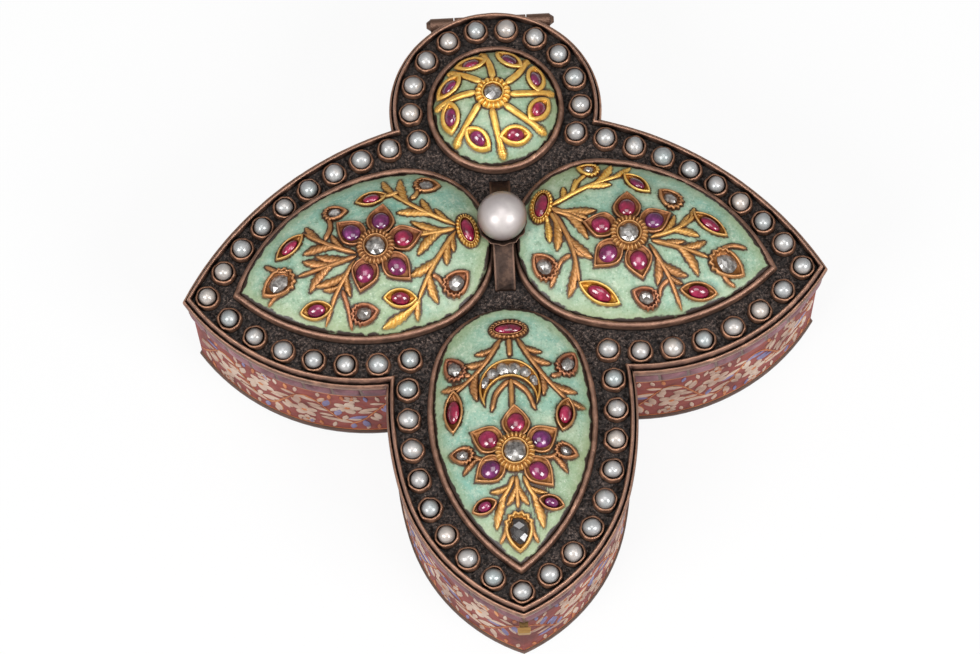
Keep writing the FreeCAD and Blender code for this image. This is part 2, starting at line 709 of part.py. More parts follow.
def make_flower(name):
    """Rosette, and the pointed ruby petals round it, except on the side of the tip."""
    petal = PETALS[name]
    centre = plan_place(petal, FLOWER_SHARES[name])
    setting = make_setting(bud_wire, FLOWER_PETAL_LENGTH, FLOWER_PETAL_WIDTH, SETTING_WALL)
    rubies = []
    for k in range(FLOWER_PETALS):
        turn = 180 + FLOWER_TURNS[name] + FLOWER_STEP * (k - (FLOWER_PETALS - 1) / 2)
        heading = turned(petal.along, turn)
        middle = centre + heading * (FLOWER_RADIUS + FLOWER_PETAL_LENGTH / 2)
        rubies.append(seated_setting(setting, seat(petal, middle, heading)))
    return make_rosette(petal, centre), rubies


def make_crescent():
    """Crescent collet set with a row of small diamonds."""
    petal = PETALS["front"]
    height = SETTING_SINK + SETTING_HEIGHT
    outer = Part.makeCylinder(CRESCENT_OUTER_RADIUS, height, -UP * SETTING_SINK)
    inner = Part.makeCylinder(CRESCENT_INNER_RADIUS, height, RIGHT * CRESCENT_SHIFT - UP * SETTING_SINK)
    blank = outer.cut(inner)
    collet = blank
    stones = []
    for k in range(CRESCENT_STONES):
        heading = turned(RIGHT, 180 + CRESCENT_SWEEP * (k / (CRESCENT_STONES - 1) - 1 / 2))
        inner_edge = math.sqrt(CRESCENT_INNER_RADIUS**2 - (CRESCENT_SHIFT * heading.y)**2)
        inner_edge += CRESCENT_SHIFT * heading.x
        radius = min(CRESCENT_STONE_RADIUS, (CRESCENT_OUTER_RADIUS - inner_edge - CRESCENT_WALL) / 2)
        place = heading * ((CRESCENT_OUTER_RADIUS + inner_edge) / 2)
        collet = collet.cut(Part.makeCylinder(radius, height, place - UP * SETTING_SINK))
        foot = Part.makeCylinder(radius, SETTING_SINK, place - UP * SETTING_SINK)
        stone = Part.makeCone(radius, radius * GEM_TOP_SHARE, GEM_HEIGHT, place)
        stones.append(foot.fuse(stone).removeSplitter())
    placement = seat(petal, plan_place(petal, (CRESCENT_SHARE, 0)), petal.along)
    return seated_setting(Setting(collet, stones, blank), placement)


def make_pinwheel():
    """Rosette at the middle of the round dome, and the rubies on the curved arms round it."""
    centre = ROUND_PETAL.centre
    ruby_place = plan_place(ROUND_PETAL, ARM_RUBY_SHARE)
    setting = make_setting(pointed_wire, PINWHEEL_RUBY_LENGTH, PINWHEEL_RUBY_WIDTH, SETTING_WALL)
    rubies = []
    for k in range(PINWHEEL_ARMS):
        turn = 360 * k / PINWHEEL_ARMS
        place = centre + turned(ruby_place - centre, turn)
        heading = turned(ROUND_PETAL.along, turn + ARM_RUBY_TURN)
        rubies.append(seated_setting(setting, seat(ROUND_PETAL, place, heading)))
    return make_rosette(ROUND_PETAL, centre), rubies


def stem_prism(start, via, end):
    """Upright body of a curved stem through three plan places."""
    middle = Part.Arc(start, via, end).toShape().Curve.Center
    across_start = unit(start - middle) * (STEM_WIDTH / 2)
    across_via = unit(via - middle) * (STEM_WIDTH / 2)
    across_end = unit(end - middle) * (STEM_WIDTH / 2)
    outer = Part.Arc(start + across_start, via + across_via, end + across_end).toShape()
    inner = Part.Arc(end - across_end, via - across_via, start - across_start).toShape()
    first = Part.makeLine(end + across_end, end - across_end)
    last = Part.makeLine(start - across_start, start + across_start)
    return prism(Part.Wire([outer, first, inner, last]), DOME_HEIGHT + OVERRUN)


def straight_prism(start, end):
    """Upright body of a straight stem."""
    aside = unit(Vector(start.y - end.y, end.x - start.x)) * (STEM_WIDTH / 2)
    ring_points = [start + aside, end + aside, end - aside, start - aside, start + aside]
    return prism(Part.makePolygon(ring_points), DOME_HEIGHT + OVERRUN)


def leaf_prism(root, tip):
    middle = (root + tip) / 2
    angle = math.degrees(math.atan2(tip.y - root.y, tip.x - root.x))
    leaf = prism(pointed_wire((tip - root).Length, LEAF_WIDTH, 0), DOME_HEIGHT + OVERRUN)
    return seated(leaf, FreeCAD.Placement(middle, FreeCAD.Rotation(UP, angle)))


def is_straight(start, via, end):
    return (via - start).cross(end - start).Length < STEM_WIDTH**2 / 2


def vine_prisms(petal, stem_shares, leaf_shares, turn):
    """Upright bodies of stems and leaves, turned about the middle of the petal's round end."""
    def place(share):
        point = petal.centre + turned(plan_place(petal, share) - petal.centre, turn)
        return lifted(point, GROUND_Z)

    bodies = []
    for shares in stem_shares:
        start, via, end = [place(share) for share in shares]
        straight = is_straight(start, via, end)
        bodies.append(straight_prism(start, end) if straight else stem_prism(start, via, end))
    for root_share, tip_share in leaf_shares:
        bodies.append(leaf_prism(place(root_share), place(tip_share)))
    return bodies


def stones_of(settings):
    return [stone for setting in settings for stone in setting.stones]


def seated_on_dome(name, shapes):
    """Shapes with their feet cut to the surface of the dome."""
    return compound(compound(shapes).cut(crown(petal_of(name), 0)).Solids)


def make_vine(name, bodies, settings):
    """Stems and leaves as a thin layer on the dome, cut away where the settings stand, without crumbs."""
    petal = petal_of(name)
    layer = dome_column(name, BEZEL_WIDTH + VINE_EDGE).common(crown(petal, VINE_THICK))
    layer = layer.cut(crown(petal, 0))
    vine = layer.common(bodies[0].multiFuse(bodies[1:])).cut([setting.blank for setting in settings])
    crumb = STEM_WIDTH**2 * VINE_THICK
    return compound(solid for solid in vine.Solids if solid.Volume > crumb)


# Sub-parts of the base

def catch_hole():
    """Way through the wall for the shank of the push catch."""
    half_width = SHANK_WIDTH / 2 + SHANK_CLEARANCE
    half_height = SHANK_HEIGHT / 2 + SHANK_CLEARANCE
    low = Vector(-half_width, FRONT_TIP_Y - OVERRUN, SHANK_Z - half_height)
    high = Vector(half_width, corners(INNER_INSET)[-1].y + OVERRUN, SHANK_Z + half_height)
    return plain_box(low, high)


def spring_y():
    """Front face of the spring, drawn bent back so that the hook can travel."""
    return hook_y() + HOOK_THICK + BUTTON_TRAVEL + SPRING_GAP


def rivet_axis_y():
    return spring_y() + SPRING_THICK + SPRING_FOOT / 2


def make_floor():
    rivet_hole = Part.makeCylinder(RIVET_RADIUS, RIVET_DEPTH,
                                   Vector(0, rivet_axis_y(), FLOOR_THICK - RIVET_DEPTH))
    return outline_prism(INNER_INSET, 0, FLOOR_THICK).cut(rivet_hole)


def make_wall():
    return ring(WALL_INSET, INNER_INSET, 0, WALL_HEIGHT).cut(catch_hole())


def make_foot_rim():
    outer = ENAMEL_INSET - FOOT_PROUD
    profile = [
        (outer + FOOT_BEVEL, 0),
        (outer, FOOT_BEVEL),
        (outer, FOOT_HEIGHT - FOOT_BEVEL),
        (outer + FOOT_BEVEL, FOOT_HEIGHT),
    ]
    return moulded_ring(profile, WALL_INSET)


def make_top_band():
    return ring(ENAMEL_INSET - BAND_PROUD, WALL_INSET, WALL_HEIGHT - BAND_HEIGHT, WALL_HEIGHT)


def make_lip():
    return ring(LIP_INSET, INNER_INSET, WALL_HEIGHT, WALL_HEIGHT + LIP_HEIGHT)


def make_enamel(edges):
    return strip(edges, ENAMEL_INSET, WALL_INSET, FOOT_HEIGHT, WALL_HEIGHT - BAND_HEIGHT)


def make_front_enamel():
    right = make_enamel([FRONT_UPPER_EDGE, FRONT_LOWER_EDGE]).cut(catch_hole())
    return compound([right, mirrored(right)])


# Hinge

def knuckle_starts():
    length = (HINGE_LENGTH - KNUCKLE_GAP * (KNUCKLE_COUNT - 1)) / KNUCKLE_COUNT
    starts = [k * (length + KNUCKLE_GAP) - HINGE_LENGTH / 2 for k in range(KNUCKLE_COUNT)]
    return starts, length


def make_leaf(first, web_low, web_high, wall_inset, bore_radius):
    """Every second knuckle, each with a web that reaches the wall."""
    starts, length = knuckle_starts()
    wall = outline_prism(wall_inset, web_low, web_high)
    leaves = []
    for x in starts[first::2]:
        knuckle = Part.makeCylinder(KNUCKLE_RADIUS, length, Vector(x, HINGE_Y, HINGE_Z), RIGHT)
        low = Vector(x, ROUND_CENTRE_Y, web_low)
        web = plain_box(low, Vector(x + length, HINGE_Y, web_high)).cut(wall)
        bore = Part.makeCylinder(bore_radius, length, Vector(x, HINGE_Y, HINGE_Z), RIGHT)
        leaves.append(knuckle.fuse(web).cut(bore))
    return compound(leaves)


def make_base_leaf():
    top = WALL_HEIGHT - HINGE_WEB_GAP
    return make_leaf(0, top - HINGE_WEB, top, ENAMEL_INSET - BAND_PROUD, PIN_RADIUS)


def make_lid_leaf():
    low = SKIRT_Z + HINGE_WEB_GAP
    return make_leaf(1, low, low + HINGE_WEB, SKIRT_INSET, PIN_RADIUS + PIN_CLEARANCE)


def make_pin():
    """Pin with a domed head at each end."""
    half = HINGE_LENGTH / 2
    pin = Part.makeCylinder(PIN_RADIUS, HINGE_LENGTH, Vector(-half, HINGE_Y, HINGE_Z), RIGHT)
    head = Part.makeCone(PIN_HEAD_RADIUS, PIN_HEAD_RADIUS - PIN_HEAD_TAPER, PIN_HEAD_LENGTH,
                         Vector(half, HINGE_Y, HINGE_Z), RIGHT)
    return pin.multiFuse([head, mirrored(head)]).removeSplitter()


# Push catch

def tongue_y():
    """Front face of the tongue, clear of the lip where the two sides of the tip close in."""
    depth = FRONT_LOWER_RADIUS - INNER_INSET
    centre = CIRCLES[FRONT_LOWER_EDGE][0]
    wall_y = centre.y - math.sqrt(depth**2 - (TONGUE_WIDTH / 2 - centre.x)**2)
    return wall_y + TONGUE_CLEARANCE


def hook_y():
    return tongue_y() + TONGUE_THICK + HOOK_CLEARANCE


def button_back_y():
    return corners(ENAMEL_INSET)[-1].y - BUTTON_TRAVEL - BUTTON_TRAVEL_SPARE


def make_thumb_piece():
    """Push piece: a bevelled head outside the tip, and a shank through the wall."""
    back = button_back_y()
    head_low = Vector(-BUTTON_WIDTH / 2, back - BUTTON_THICK, SHANK_Z - BUTTON_HEIGHT / 2)
    head = plain_box(head_low, Vector(BUTTON_WIDTH / 2, back, SHANK_Z + BUTTON_HEIGHT / 2))
    front_edges = [edge for edge in head.Edges if edge.BoundBox.YMax < back - BUTTON_THICK / 2]
    head = head.makeChamfer(BUTTON_THICK / 4, front_edges)
    shank_low = Vector(-SHANK_WIDTH / 2, back, SHANK_Z - SHANK_HEIGHT / 2)
    shank = plain_box(shank_low, Vector(SHANK_WIDTH / 2, hook_y(), SHANK_Z + SHANK_HEIGHT / 2))
    return head.fuse(shank).removeSplitter()


def tongue_low_z():
    return SHANK_Z + SHANK_HEIGHT / 2 + TONGUE_CLEARANCE


def window_z():
    return tongue_low_z() + TONGUE_WINDOW_HEIGHT


def make_hook():
    """Upright plate on the shank, with a nose that faces the window of the tongue."""
    low = Vector(-TONGUE_WIDTH / 2, hook_y(), SHANK_Z - SHANK_HEIGHT / 2)
    plate = plain_box(low, Vector(TONGUE_WIDTH / 2, hook_y() + HOOK_THICK, window_z() + HOOK_TOP_LIFT))
    half_nose = TONGUE_WINDOW_WIDTH / 2 - SHANK_CLEARANCE
    nose_low = Vector(-half_nose, hook_y() - HOOK_NOSE, window_z() + SHANK_CLEARANCE)
    nose_top = window_z() + TONGUE_WINDOW_HEIGHT - SHANK_CLEARANCE
    return plate.fuse(plain_box(nose_low, Vector(half_nose, hook_y(), nose_top))).removeSplitter()


def make_tongue():
    low = Vector(-TONGUE_WIDTH / 2, tongue_y(), tongue_low_z())
    tongue = plain_box(low, Vector(TONGUE_WIDTH / 2, tongue_y() + TONGUE_THICK, PLATE_Z))
    window_low = Vector(-TONGUE_WINDOW_WIDTH / 2, tongue_y() - OVERRUN, window_z())
    window_high = Vector(TONGUE_WINDOW_WIDTH / 2, tongue_y() + TONGUE_THICK + OVERRUN,
                         window_z() + TONGUE_WINDOW_HEIGHT)
    return tongue.cut(plain_box(window_low, window_high))


def make_spring():
    """Bent strip: a foot on the floor and an upright behind the hook."""
    front = spring_y()
    half = SPRING_WIDTH / 2
    foot_top = FLOOR_THICK + SPRING_THICK
    foot = plain_box(Vector(-half, front, FLOOR_THICK),
                     Vector(half, front + SPRING_THICK + SPRING_FOOT, foot_top))
    upright = plain_box(Vector(-half, front, foot_top), Vector(half, front + SPRING_THICK, SHANK_Z))
    hole = Part.makeCylinder(RIVET_RADIUS, SPRING_THICK, Vector(0, rivet_axis_y(), FLOOR_THICK))
    return foot.fuse(upright).removeSplitter().cut(hole)


def make_rivet():
    foot_z = FLOOR_THICK - RIVET_DEPTH
    shank = Part.makeCylinder(RIVET_RADIUS, RIVET_DEPTH + SPRING_THICK, Vector(0, rivet_axis_y(), foot_z))
    head = Part.makeCone(RIVET_HEAD_RADIUS, RIVET_RADIUS, RIVET_HEAD_HEIGHT,
                         Vector(0, rivet_axis_y(), FLOOR_THICK + SPRING_THICK))
    return shank.fuse(head).removeSplitter()


# Sub-parts of the lid

def make_rim():
    """Rim with two ridges, one above and inside the other."""
    ridge = RIM_Z + RIM_LOWER_RIDGE
    profile = [
        (RIM_BEVEL, RIM_Z),
        (0, RIM_Z + RIM_BEVEL),
        (0, ridge - RIM_BEVEL),
        (RIM_STEP, ridge),
        (RIM_STEP, RIM_TOP_Z - RIM_BEVEL),
        (RIM_STEP + RIM_BEVEL, RIM_TOP_Z),
    ]
    return moulded_ring(profile, RIM_WIDTH)


def make_skirt():
    return ring(SKIRT_INSET, SKIRT_INNER_INSET, SKIRT_Z, RIM_Z)


def make_plate():
    return outline_prism(RIM_WIDTH, PLATE_Z, GROUND_Z)


def lappets(edges):
    low = SKIRT_Z + LAPPET_DROP
    blocks = []
    for edge in edges:
        blocks += blocks_along(edge, SKIRT_INSET - LAPPET_THICK, SKIRT_INSET, low, low + LAPPET_HEIGHT)
    return blocks


def both_sides(blocks):
    return compound(blocks + [mirrored(block) for block in blocks])


def clear_of_hinge(block):
    """True for a block beside the hinge, where no web meets the skirt."""
    return block.BoundBox.XMin > HINGE_LENGTH / 2


def border_places():
    """Places of the border pearls on each lobe."""
    neck, side_tip, lower_neck, front_tip = [corners(PEARL_INSET)[i] for i in (1, 2, 3, 5)]
    right_half = edge_arcs([ROUND_EDGE], PEARL_INSET, 0)[0]
    left_half = mirrored(right_half)
    round_wire_path = Part.Wire(Part.__sortEdges__([left_half, right_half]))
    round_places = round_wire_path.discretize(Number=PEARLS_ON_ROUND)
    right = edge_places([SIDE_UPPER_EDGE], PEARLS_ON_SIDE_UPPER) + [side_tip]
    right += edge_places([SIDE_LOWER_EDGE], PEARLS_ON_SIDE_LOWER)
    front_right = [lower_neck] + edge_places([FRONT_UPPER_EDGE, FRONT_LOWER_EDGE], PEARLS_ON_FRONT)
    front = front_right + [front_tip] + [flipped(place) for place in front_right]
    return {
        "round": round_places,
        "right": right,
        "left": [flipped(place) for place in right],
        "front": front,
    }


def edge_places(edges, count):
    """Evenly spaced places along some right-hand edges, between their ends."""
    path = Part.Wire(edge_arcs(edges, PEARL_INSET, 0))
    return path.discretize(Number=count + 2)[1:-1]


def make_border_pearl(place):
    """Pearl with a flat foot on the ground plate."""
    ball = Part.makeSphere(PEARL_RADIUS, lifted(place, GROUND_Z + PEARL_CENTRE_LIFT))
    below = Part.makeCylinder(2 * PEARL_RADIUS, 2 * PEARL_RADIUS, lifted(place, GROUND_Z), -UP)
    return ball.cut(below)


def make_pearl_collet(place):
    foot = lifted(place, GROUND_Z)
    outer = Part.makeCylinder(PEARL_COLLET_RADIUS, PEARL_COLLET_HEIGHT, foot)
    inner_radius = PEARL_COLLET_RADIUS - PEARL_COLLET_WALL
    return outer.cut(Part.makeCylinder(inner_radius, PEARL_COLLET_HEIGHT, foot))


def make_pearl_collets(lobe, places):
    """Collets of one lobe, trimmed where its bezel passes."""
    bezel = prism(bezel_wire(lobe, -PEARL_COLLET_GAP, GROUND_Z), BEZEL_HEIGHT)
    return compound(make_pearl_collet(place).cut(bezel) for place in places)


def strap_ends():
    front = FRONT_PETAL_END_Y + FRONT_PETAL_END_RADIUS + STRAP_FRONT_GAP
    back = ROUND_DOME_Y - ROUND_BEZEL_RADIUS - STRAP_BACK_GAP
    return front, back


def pearl_axis():
    """Foot of the large pearl's axis, on top of the strap."""
    return Vector(0, sum(strap_ends()) / 2, GROUND_Z + STRAP_RISE)


def centre_pearl_ball():
    return Part.makeSphere(CENTRE_PEARL_RADIUS, pearl_axis() + UP * (CENTRE_PEARL_LIFT + CENTRE_PEARL_RADIUS))


def make_peg():
    """Peg from below the strap into the large pearl."""
    below = STRAP_THICK + PEG_FOOT
    return Part.makeCylinder(PEG_RADIUS, below + CENTRE_PEARL_LIFT + PEG_REACH, pearl_axis() - UP * below)


def plain_strap():
    """Arched strap that stands on the ground plate."""
    front, back = strap_ends()
    half = (back - front) / 2
    radius = (half**2 + STRAP_RISE**2) / (2 * STRAP_RISE)
    foot = Vector(-STRAP_WIDTH / 2, (front + back) / 2, GROUND_Z + STRAP_RISE - radius)
    outer = Part.makeCylinder(radius, STRAP_WIDTH, foot, RIGHT)
    arch = outer.cut(Part.makeCylinder(radius - STRAP_THICK, STRAP_WIDTH, foot, RIGHT))
    low = Vector(-STRAP_WIDTH / 2, front, GROUND_Z)
    return arch.common(plain_box(low, Vector(STRAP_WIDTH / 2, back, GROUND_Z + STRAP_RISE + OVERRUN)))


def make_strap():
    return plain_strap().cut(make_peg())


def make_cup():
    foot = pearl_axis() - UP * STRAP_THICK / 2
    cup = Part.makeCone(CUP_FOOT_RADIUS, CUP_RIM_RADIUS, CUP_HEIGHT + STRAP_THICK / 2, foot)
    below = plain_box(Vector(-CUP_RIM_RADIUS, foot.y - CUP_RIM_RADIUS, GROUND_Z),
                      Vector(CUP_RIM_RADIUS, foot.y + CUP_RIM_RADIUS, pearl_axis().z - STRAP_THICK / 4))
    return cup.cut(below).cut([plain_strap(), centre_pearl_ball(), make_peg()])


def make_centre_pearl():
    return centre_pearl_ball().cut(make_peg())


# Gold work and gems of one dome, as its vine, settings, rubies and diamonds

def dress_petal(name, buds, leaves, ovals, stems, vine_leaves):
    petal = PETALS[name]
    rosette, flower = make_flower(name)
    diamonds = set_gems(petal, bud_wire, buds) + [rosette]
    rubies = set_gems(petal, pointed_wire, leaves) + set_gems(petal, oval_wire, ovals) + flower
    if name == "front":
        diamonds.append(make_crescent())
    vine = make_vine(name, vine_prisms(petal, stems, vine_leaves, 0), diamonds + rubies)
    return vine, diamonds, rubies


def dress_round():
    rosette, rubies = make_pinwheel()
    bodies = []
    for k in range(PINWHEEL_ARMS):
        bodies += vine_prisms(ROUND_PETAL, ARM_STEM_SHARES, [], 360 * k / PINWHEEL_ARMS)
    return make_vine("round", bodies, [rosette] + rubies), [rosette], rubies


def dressed_lobes():
    return {
        "round": dress_round(),
        "left": dress_petal("left", LEFT_BUD_SHARES, LEFT_RUBY_SHARES, LEFT_OVAL_SHARES,
                            LEFT_STEM_SHARES, LEFT_LEAF_SHARES),
        "right": dress_petal("right", RIGHT_BUD_SHARES, RIGHT_RUBY_SHARES, RIGHT_OVAL_SHARES,
                             RIGHT_STEM_SHARES, RIGHT_LEAF_SHARES),
        "front": dress_petal("front", FRONT_BUD_SHARES, FRONT_RUBY_SHARES, FRONT_OVAL_SHARES,
                             FRONT_STEM_SHARES, FRONT_LEAF_SHARES),
    }


# Whole box

def base_parts():
    side_enamel = compound([make_enamel([SIDE_UPPER_EDGE]), make_enamel([SIDE_LOWER_EDGE])])
    round_enamel = make_enamel([ROUND_EDGE])
    return {
        "base_floor": make_floor(),
        "base_wall": make_wall(),
        "base_foot_rim": make_foot_rim(),
        "base_top_band": make_top_band(),
        "base_lip": make_lip(),
        "enamel_round": compound([round_enamel, mirrored(round_enamel)]),
        "enamel_right": side_enamel,
        "enamel_left": mirrored(side_enamel),
        "enamel_front": make_front_enamel(),
        "hinge_base_leaf": make_base_leaf(),
        "hinge_pin": make_pin(),
        "clasp_spring": make_spring(),
        "clasp_rivet": make_rivet(),
        "clasp_thumb_piece": make_thumb_piece(),
        "clasp_hook": make_hook(),
    }


def lid_parts():
    side_lappets = lappets([SIDE_UPPER_EDGE, SIDE_LOWER_EDGE])
    round_lappets = [block for block in lappets([ROUND_EDGE]) if clear_of_hinge(block)]
    parts = {
        "lid_plate": make_plate(),
        "lid_rim": make_rim(),
        "lid_skirt": make_skirt(),
        "lappets_round": both_sides(round_lappets),
        "lappets_right": compound(side_lappets),
        "lappets_left": compound(mirrored(block) for block in side_lappets),
        "lappets_front": both_sides(lappets([FRONT_UPPER_EDGE, FRONT_LOWER_EDGE])),
        "hinge_lid_leaf": make_lid_leaf(),
        "catch_tongue": make_tongue(),
        "pearl_strap": make_strap(),
        "pearl_cup": make_cup(),
        "pearl_peg": make_peg(),
        "centre_pearl": make_centre_pearl(),
    }
    for lobe, places in border_places().items():
        parts["border_pearls_" + lobe] = compound(make_border_pearl(place) for place in places)
        parts["pearl_collets_" + lobe] = make_pearl_collets(lobe, places)
    for lobe, (vine, diamonds, rubies) in dressed_lobes().items():
        parts["bezel_" + lobe] = make_bezel(lobe)
        parts["dome_" + lobe] = make_dome(lobe)
        parts["vine_" + lobe] = vine
        parts["settings_" + lobe] = seated_on_dome(lobe, [setting.collet for setting in diamonds + rubies])
        parts["rubies_" + lobe] = seated_on_dome(lobe, stones_of(rubies))
        parts["diamonds_" + lobe] = seated_on_dome(lobe, stones_of(diamonds))
    return parts


def main():
    os.makedirs("parts", exist_ok=True)
    parts = base_parts()
    parts.update(lid_parts())
    for name, shape in parts.items():
        shape.exportStep("parts/" + name + ".step")
        print(name, len(shape.Solids), shape.isValid(), round(shape.Volume, 2))


main()
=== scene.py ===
import cmath
import math
import random
from functools import partial

import bmesh
import bpy
from mathutils import Matrix, Vector, noise
from mathutils.kdtree import KDTree


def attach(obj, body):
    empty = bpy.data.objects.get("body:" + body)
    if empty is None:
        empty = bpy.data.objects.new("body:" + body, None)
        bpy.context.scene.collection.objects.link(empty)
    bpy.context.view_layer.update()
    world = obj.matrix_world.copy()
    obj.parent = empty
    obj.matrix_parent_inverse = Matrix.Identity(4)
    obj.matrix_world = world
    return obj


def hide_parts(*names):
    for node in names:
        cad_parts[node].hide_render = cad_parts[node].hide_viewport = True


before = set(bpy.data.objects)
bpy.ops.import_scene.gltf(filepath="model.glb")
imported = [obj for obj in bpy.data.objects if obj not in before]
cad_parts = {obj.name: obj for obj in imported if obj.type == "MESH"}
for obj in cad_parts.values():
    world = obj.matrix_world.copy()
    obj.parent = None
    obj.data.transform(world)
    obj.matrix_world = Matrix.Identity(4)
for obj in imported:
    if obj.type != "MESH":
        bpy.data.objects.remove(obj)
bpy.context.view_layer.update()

# A four-lobed jewel box. Lengths are in millimetres in the part's frame and become metres in
# the meshes. Places in plan are complex numbers: x to the right, y to the hinge.

MM = 0.001
LOBES = ("round", "right", "front", "left")
dice = random.Random(12)

# Outline of the lid in plan
ROUND_CENTRE = 31.2j
ROUND_RADIUS = 17.5
UPPER_NECK_Y = 28.3
SIDE_TIP = 52.2 + 0j
SIDE_UPPER_RADIUS = 58.0
SIDE_LOWER_RADIUS = 36.0
LOWER_NECK_Y = -16.3
FRONT_CENTRE = -35.9 - 21j
FRONT_UPPER_RADIUS = 56.0
FRONT_LOWER_RADIUS = 30.5
FRONT_LOWER_NEAR = -11 - 27j
FRONT_TIP = -55.6j

# Levels and insets
ENAMEL_INSET = 1.0
ENAMEL_LOW = 1.1
ENAMEL_HIGH = 18.2
SKIRT_INSET = 0.5
LAPPET_LOW = 19.6
LAPPET_HIGH = 22.0
LAPPET_PITCH = 4.85
LAPPET_GAP = 0.45
HINGE_HALF = 10.0
GROUND = 24.75
PEARL_INSET = 3.5
PEARL_RADIUS = 1.5
PEARL_CENTRE = 25.85
COLLET_RADIUS = 2.1
COLLET_HEIGHT = 1.2
BEZEL_WIDTH = 1.1
BEZEL_HEIGHT = 1.9
APEX = 30.55
DOME_RISE = 4.1
APEX_SHARE = 0.15
SHOULDER = 1.8
SHOULDER_DROP = 0.25

# Points of a petal's outline, and steps in which a place is moved inside it
RING_SIDE_POINTS = 70
RING_END_POINTS = 110
INSIDE_STEPS = 6


# Plane geometry

def mirror(point):
    return complex(-point.real, point.imag)


def unit(step):
    return step / abs(step)


def clamp(value, low, high):
    return min(max(value, low), high)


def turns(count):
    """Angles evenly spaced over a full turn."""
    return [2 * math.pi * k / count for k in range(count)]


def crossing(first, first_radius, second, second_radius, near):
    """Crossing of two circles that lies nearest to a place."""
    apart = second - first
    distance = abs(apart)
    along = (distance**2 + first_radius**2 - second_radius**2) / (2 * distance)
    aside = math.sqrt(max(first_radius**2 - along**2, 0))
    foot = first + apart / distance * along
    step = apart / distance * 1j * aside
    return min((foot + step, foot - step), key=lambda place: abs(place - near))


def circle_centre(start, end, radius):
    """Centre of the arc from start to end that has its centre on the right-hand side."""
    chord = end - start
    depth = math.sqrt(radius**2 - abs(chord) ** 2 / 4)
    return (start + end) / 2 - unit(chord) * 1j * depth


def arc(centre, start, end, count, turn):
    """Points of an arc, its ends included; turn is 1 counter-clockwise and -1 clockwise."""
    first = cmath.phase(start - centre)
    sweep = (cmath.phase(end - centre) - first) * turn % (2 * math.pi) * turn
    radius = abs(start - centre)
    return [centre + cmath.rect(radius, first + sweep * k / count) for k in range(count + 1)]


UPPER_NECK = complex(math.sqrt(ROUND_RADIUS**2 - (UPPER_NECK_Y - ROUND_CENTRE.imag) ** 2), UPPER_NECK_Y)
LOWER_NECK_RUN = math.sqrt(FRONT_UPPER_RADIUS**2 - (LOWER_NECK_Y - FRONT_CENTRE.imag) ** 2)
LOWER_NECK = complex(FRONT_CENTRE.real + LOWER_NECK_RUN, LOWER_NECK_Y)
FRONT_LOWER_CENTRE = crossing(FRONT_CENTRE, FRONT_UPPER_RADIUS - FRONT_LOWER_RADIUS,
                              FRONT_TIP, FRONT_LOWER_RADIUS, FRONT_LOWER_NEAR)
FRONT_TURN = unit(FRONT_LOWER_CENTRE - FRONT_CENTRE)
EDGES = (
    (ROUND_CENTRE, ROUND_RADIUS),
    (circle_centre(UPPER_NECK, SIDE_TIP, SIDE_UPPER_RADIUS), SIDE_UPPER_RADIUS),
    (circle_centre(SIDE_TIP, LOWER_NECK, SIDE_LOWER_RADIUS), SIDE_LOWER_RADIUS),
    (FRONT_CENTRE, FRONT_UPPER_RADIUS),
    (FRONT_LOWER_CENTRE, FRONT_LOWER_RADIUS),
)
EDGE_COUNTS = (80, 110, 96, 48, 72)


def corners(inset):
    """Corners of the right-hand half of the outline, from the back to the front tip."""
    radii = [radius - inset for centre, radius in EDGES]
    centres = [centre for centre, radius in EDGES]
    back = ROUND_CENTRE + 1j * radii[0]
    neck = crossing(centres[0], radii[0], centres[1], radii[1], UPPER_NECK)
    tip = crossing(centres[1], radii[1], centres[2], radii[2], SIDE_TIP)
    lower = crossing(centres[2], radii[2], centres[3], radii[3], LOWER_NECK)
    bend = FRONT_CENTRE + FRONT_TURN * radii[3]
    drop = math.sqrt(radii[4] ** 2 - FRONT_LOWER_CENTRE.real**2)
    return [back, neck, tip, lower, bend, 1j * (FRONT_LOWER_CENTRE.imag - drop)]


def right_edges(inset):
    places = corners(inset)
    return [arc(EDGES[k][0], places[k], places[k + 1], EDGE_COUNTS[k], -1) for k in range(len(EDGES))]


def outline(inset):
    """The whole outline, clockwise from the back."""
    right = [point for edge in right_edges(inset) for point in edge[:-1]]
    right.append(corners(inset)[5])
    return right + [mirror(point) for point in reversed(right[1:-1])]


def lobe_runs(lobe, inset):
    """Smooth runs of one lobe's edge, clockwise."""
    edges = right_edges(inset)
    front = edges[3] + edges[4][1:]
    other = [[mirror(point) for point in reversed(edge)] for edge in (edges[0], edges[1], edges[2], front)]
    runs = {
        "round": [other[0] + edges[0][1:]],
        "right": [edges[1], edges[2]],
        "front": [front, other[3]],
        "left": [other[2], other[1]],
    }
    return [Path(points) for points in runs[lobe]]


class Path:
    """A line in plan that is walked by length."""

    def __init__(self, points):
        self.points = points
        self.marks = [0.0]
        for first, second in zip(points, points[1:]):
            self.marks.append(self.marks[-1] + abs(second - first))
        self.length = self.marks[-1]

    def at(self, distance):
        """Place at a distance, and the direction to its left."""
        distance = clamp(distance, 0.0, self.length)
        index = 0
        while index < len(self.marks) - 2 and self.marks[index + 1] < distance:
            index += 1
        step = self.points[index + 1] - self.points[index]
        share = (distance - self.marks[index]) / (self.marks[index + 1] - self.marks[index])
        return self.points[index] + step * share, unit(step) * 1j

    def spread(self, count):
        """Evenly spaced places, the ends included."""
        return [self.at(self.length * k / (count - 1))[0] for k in range(count)]


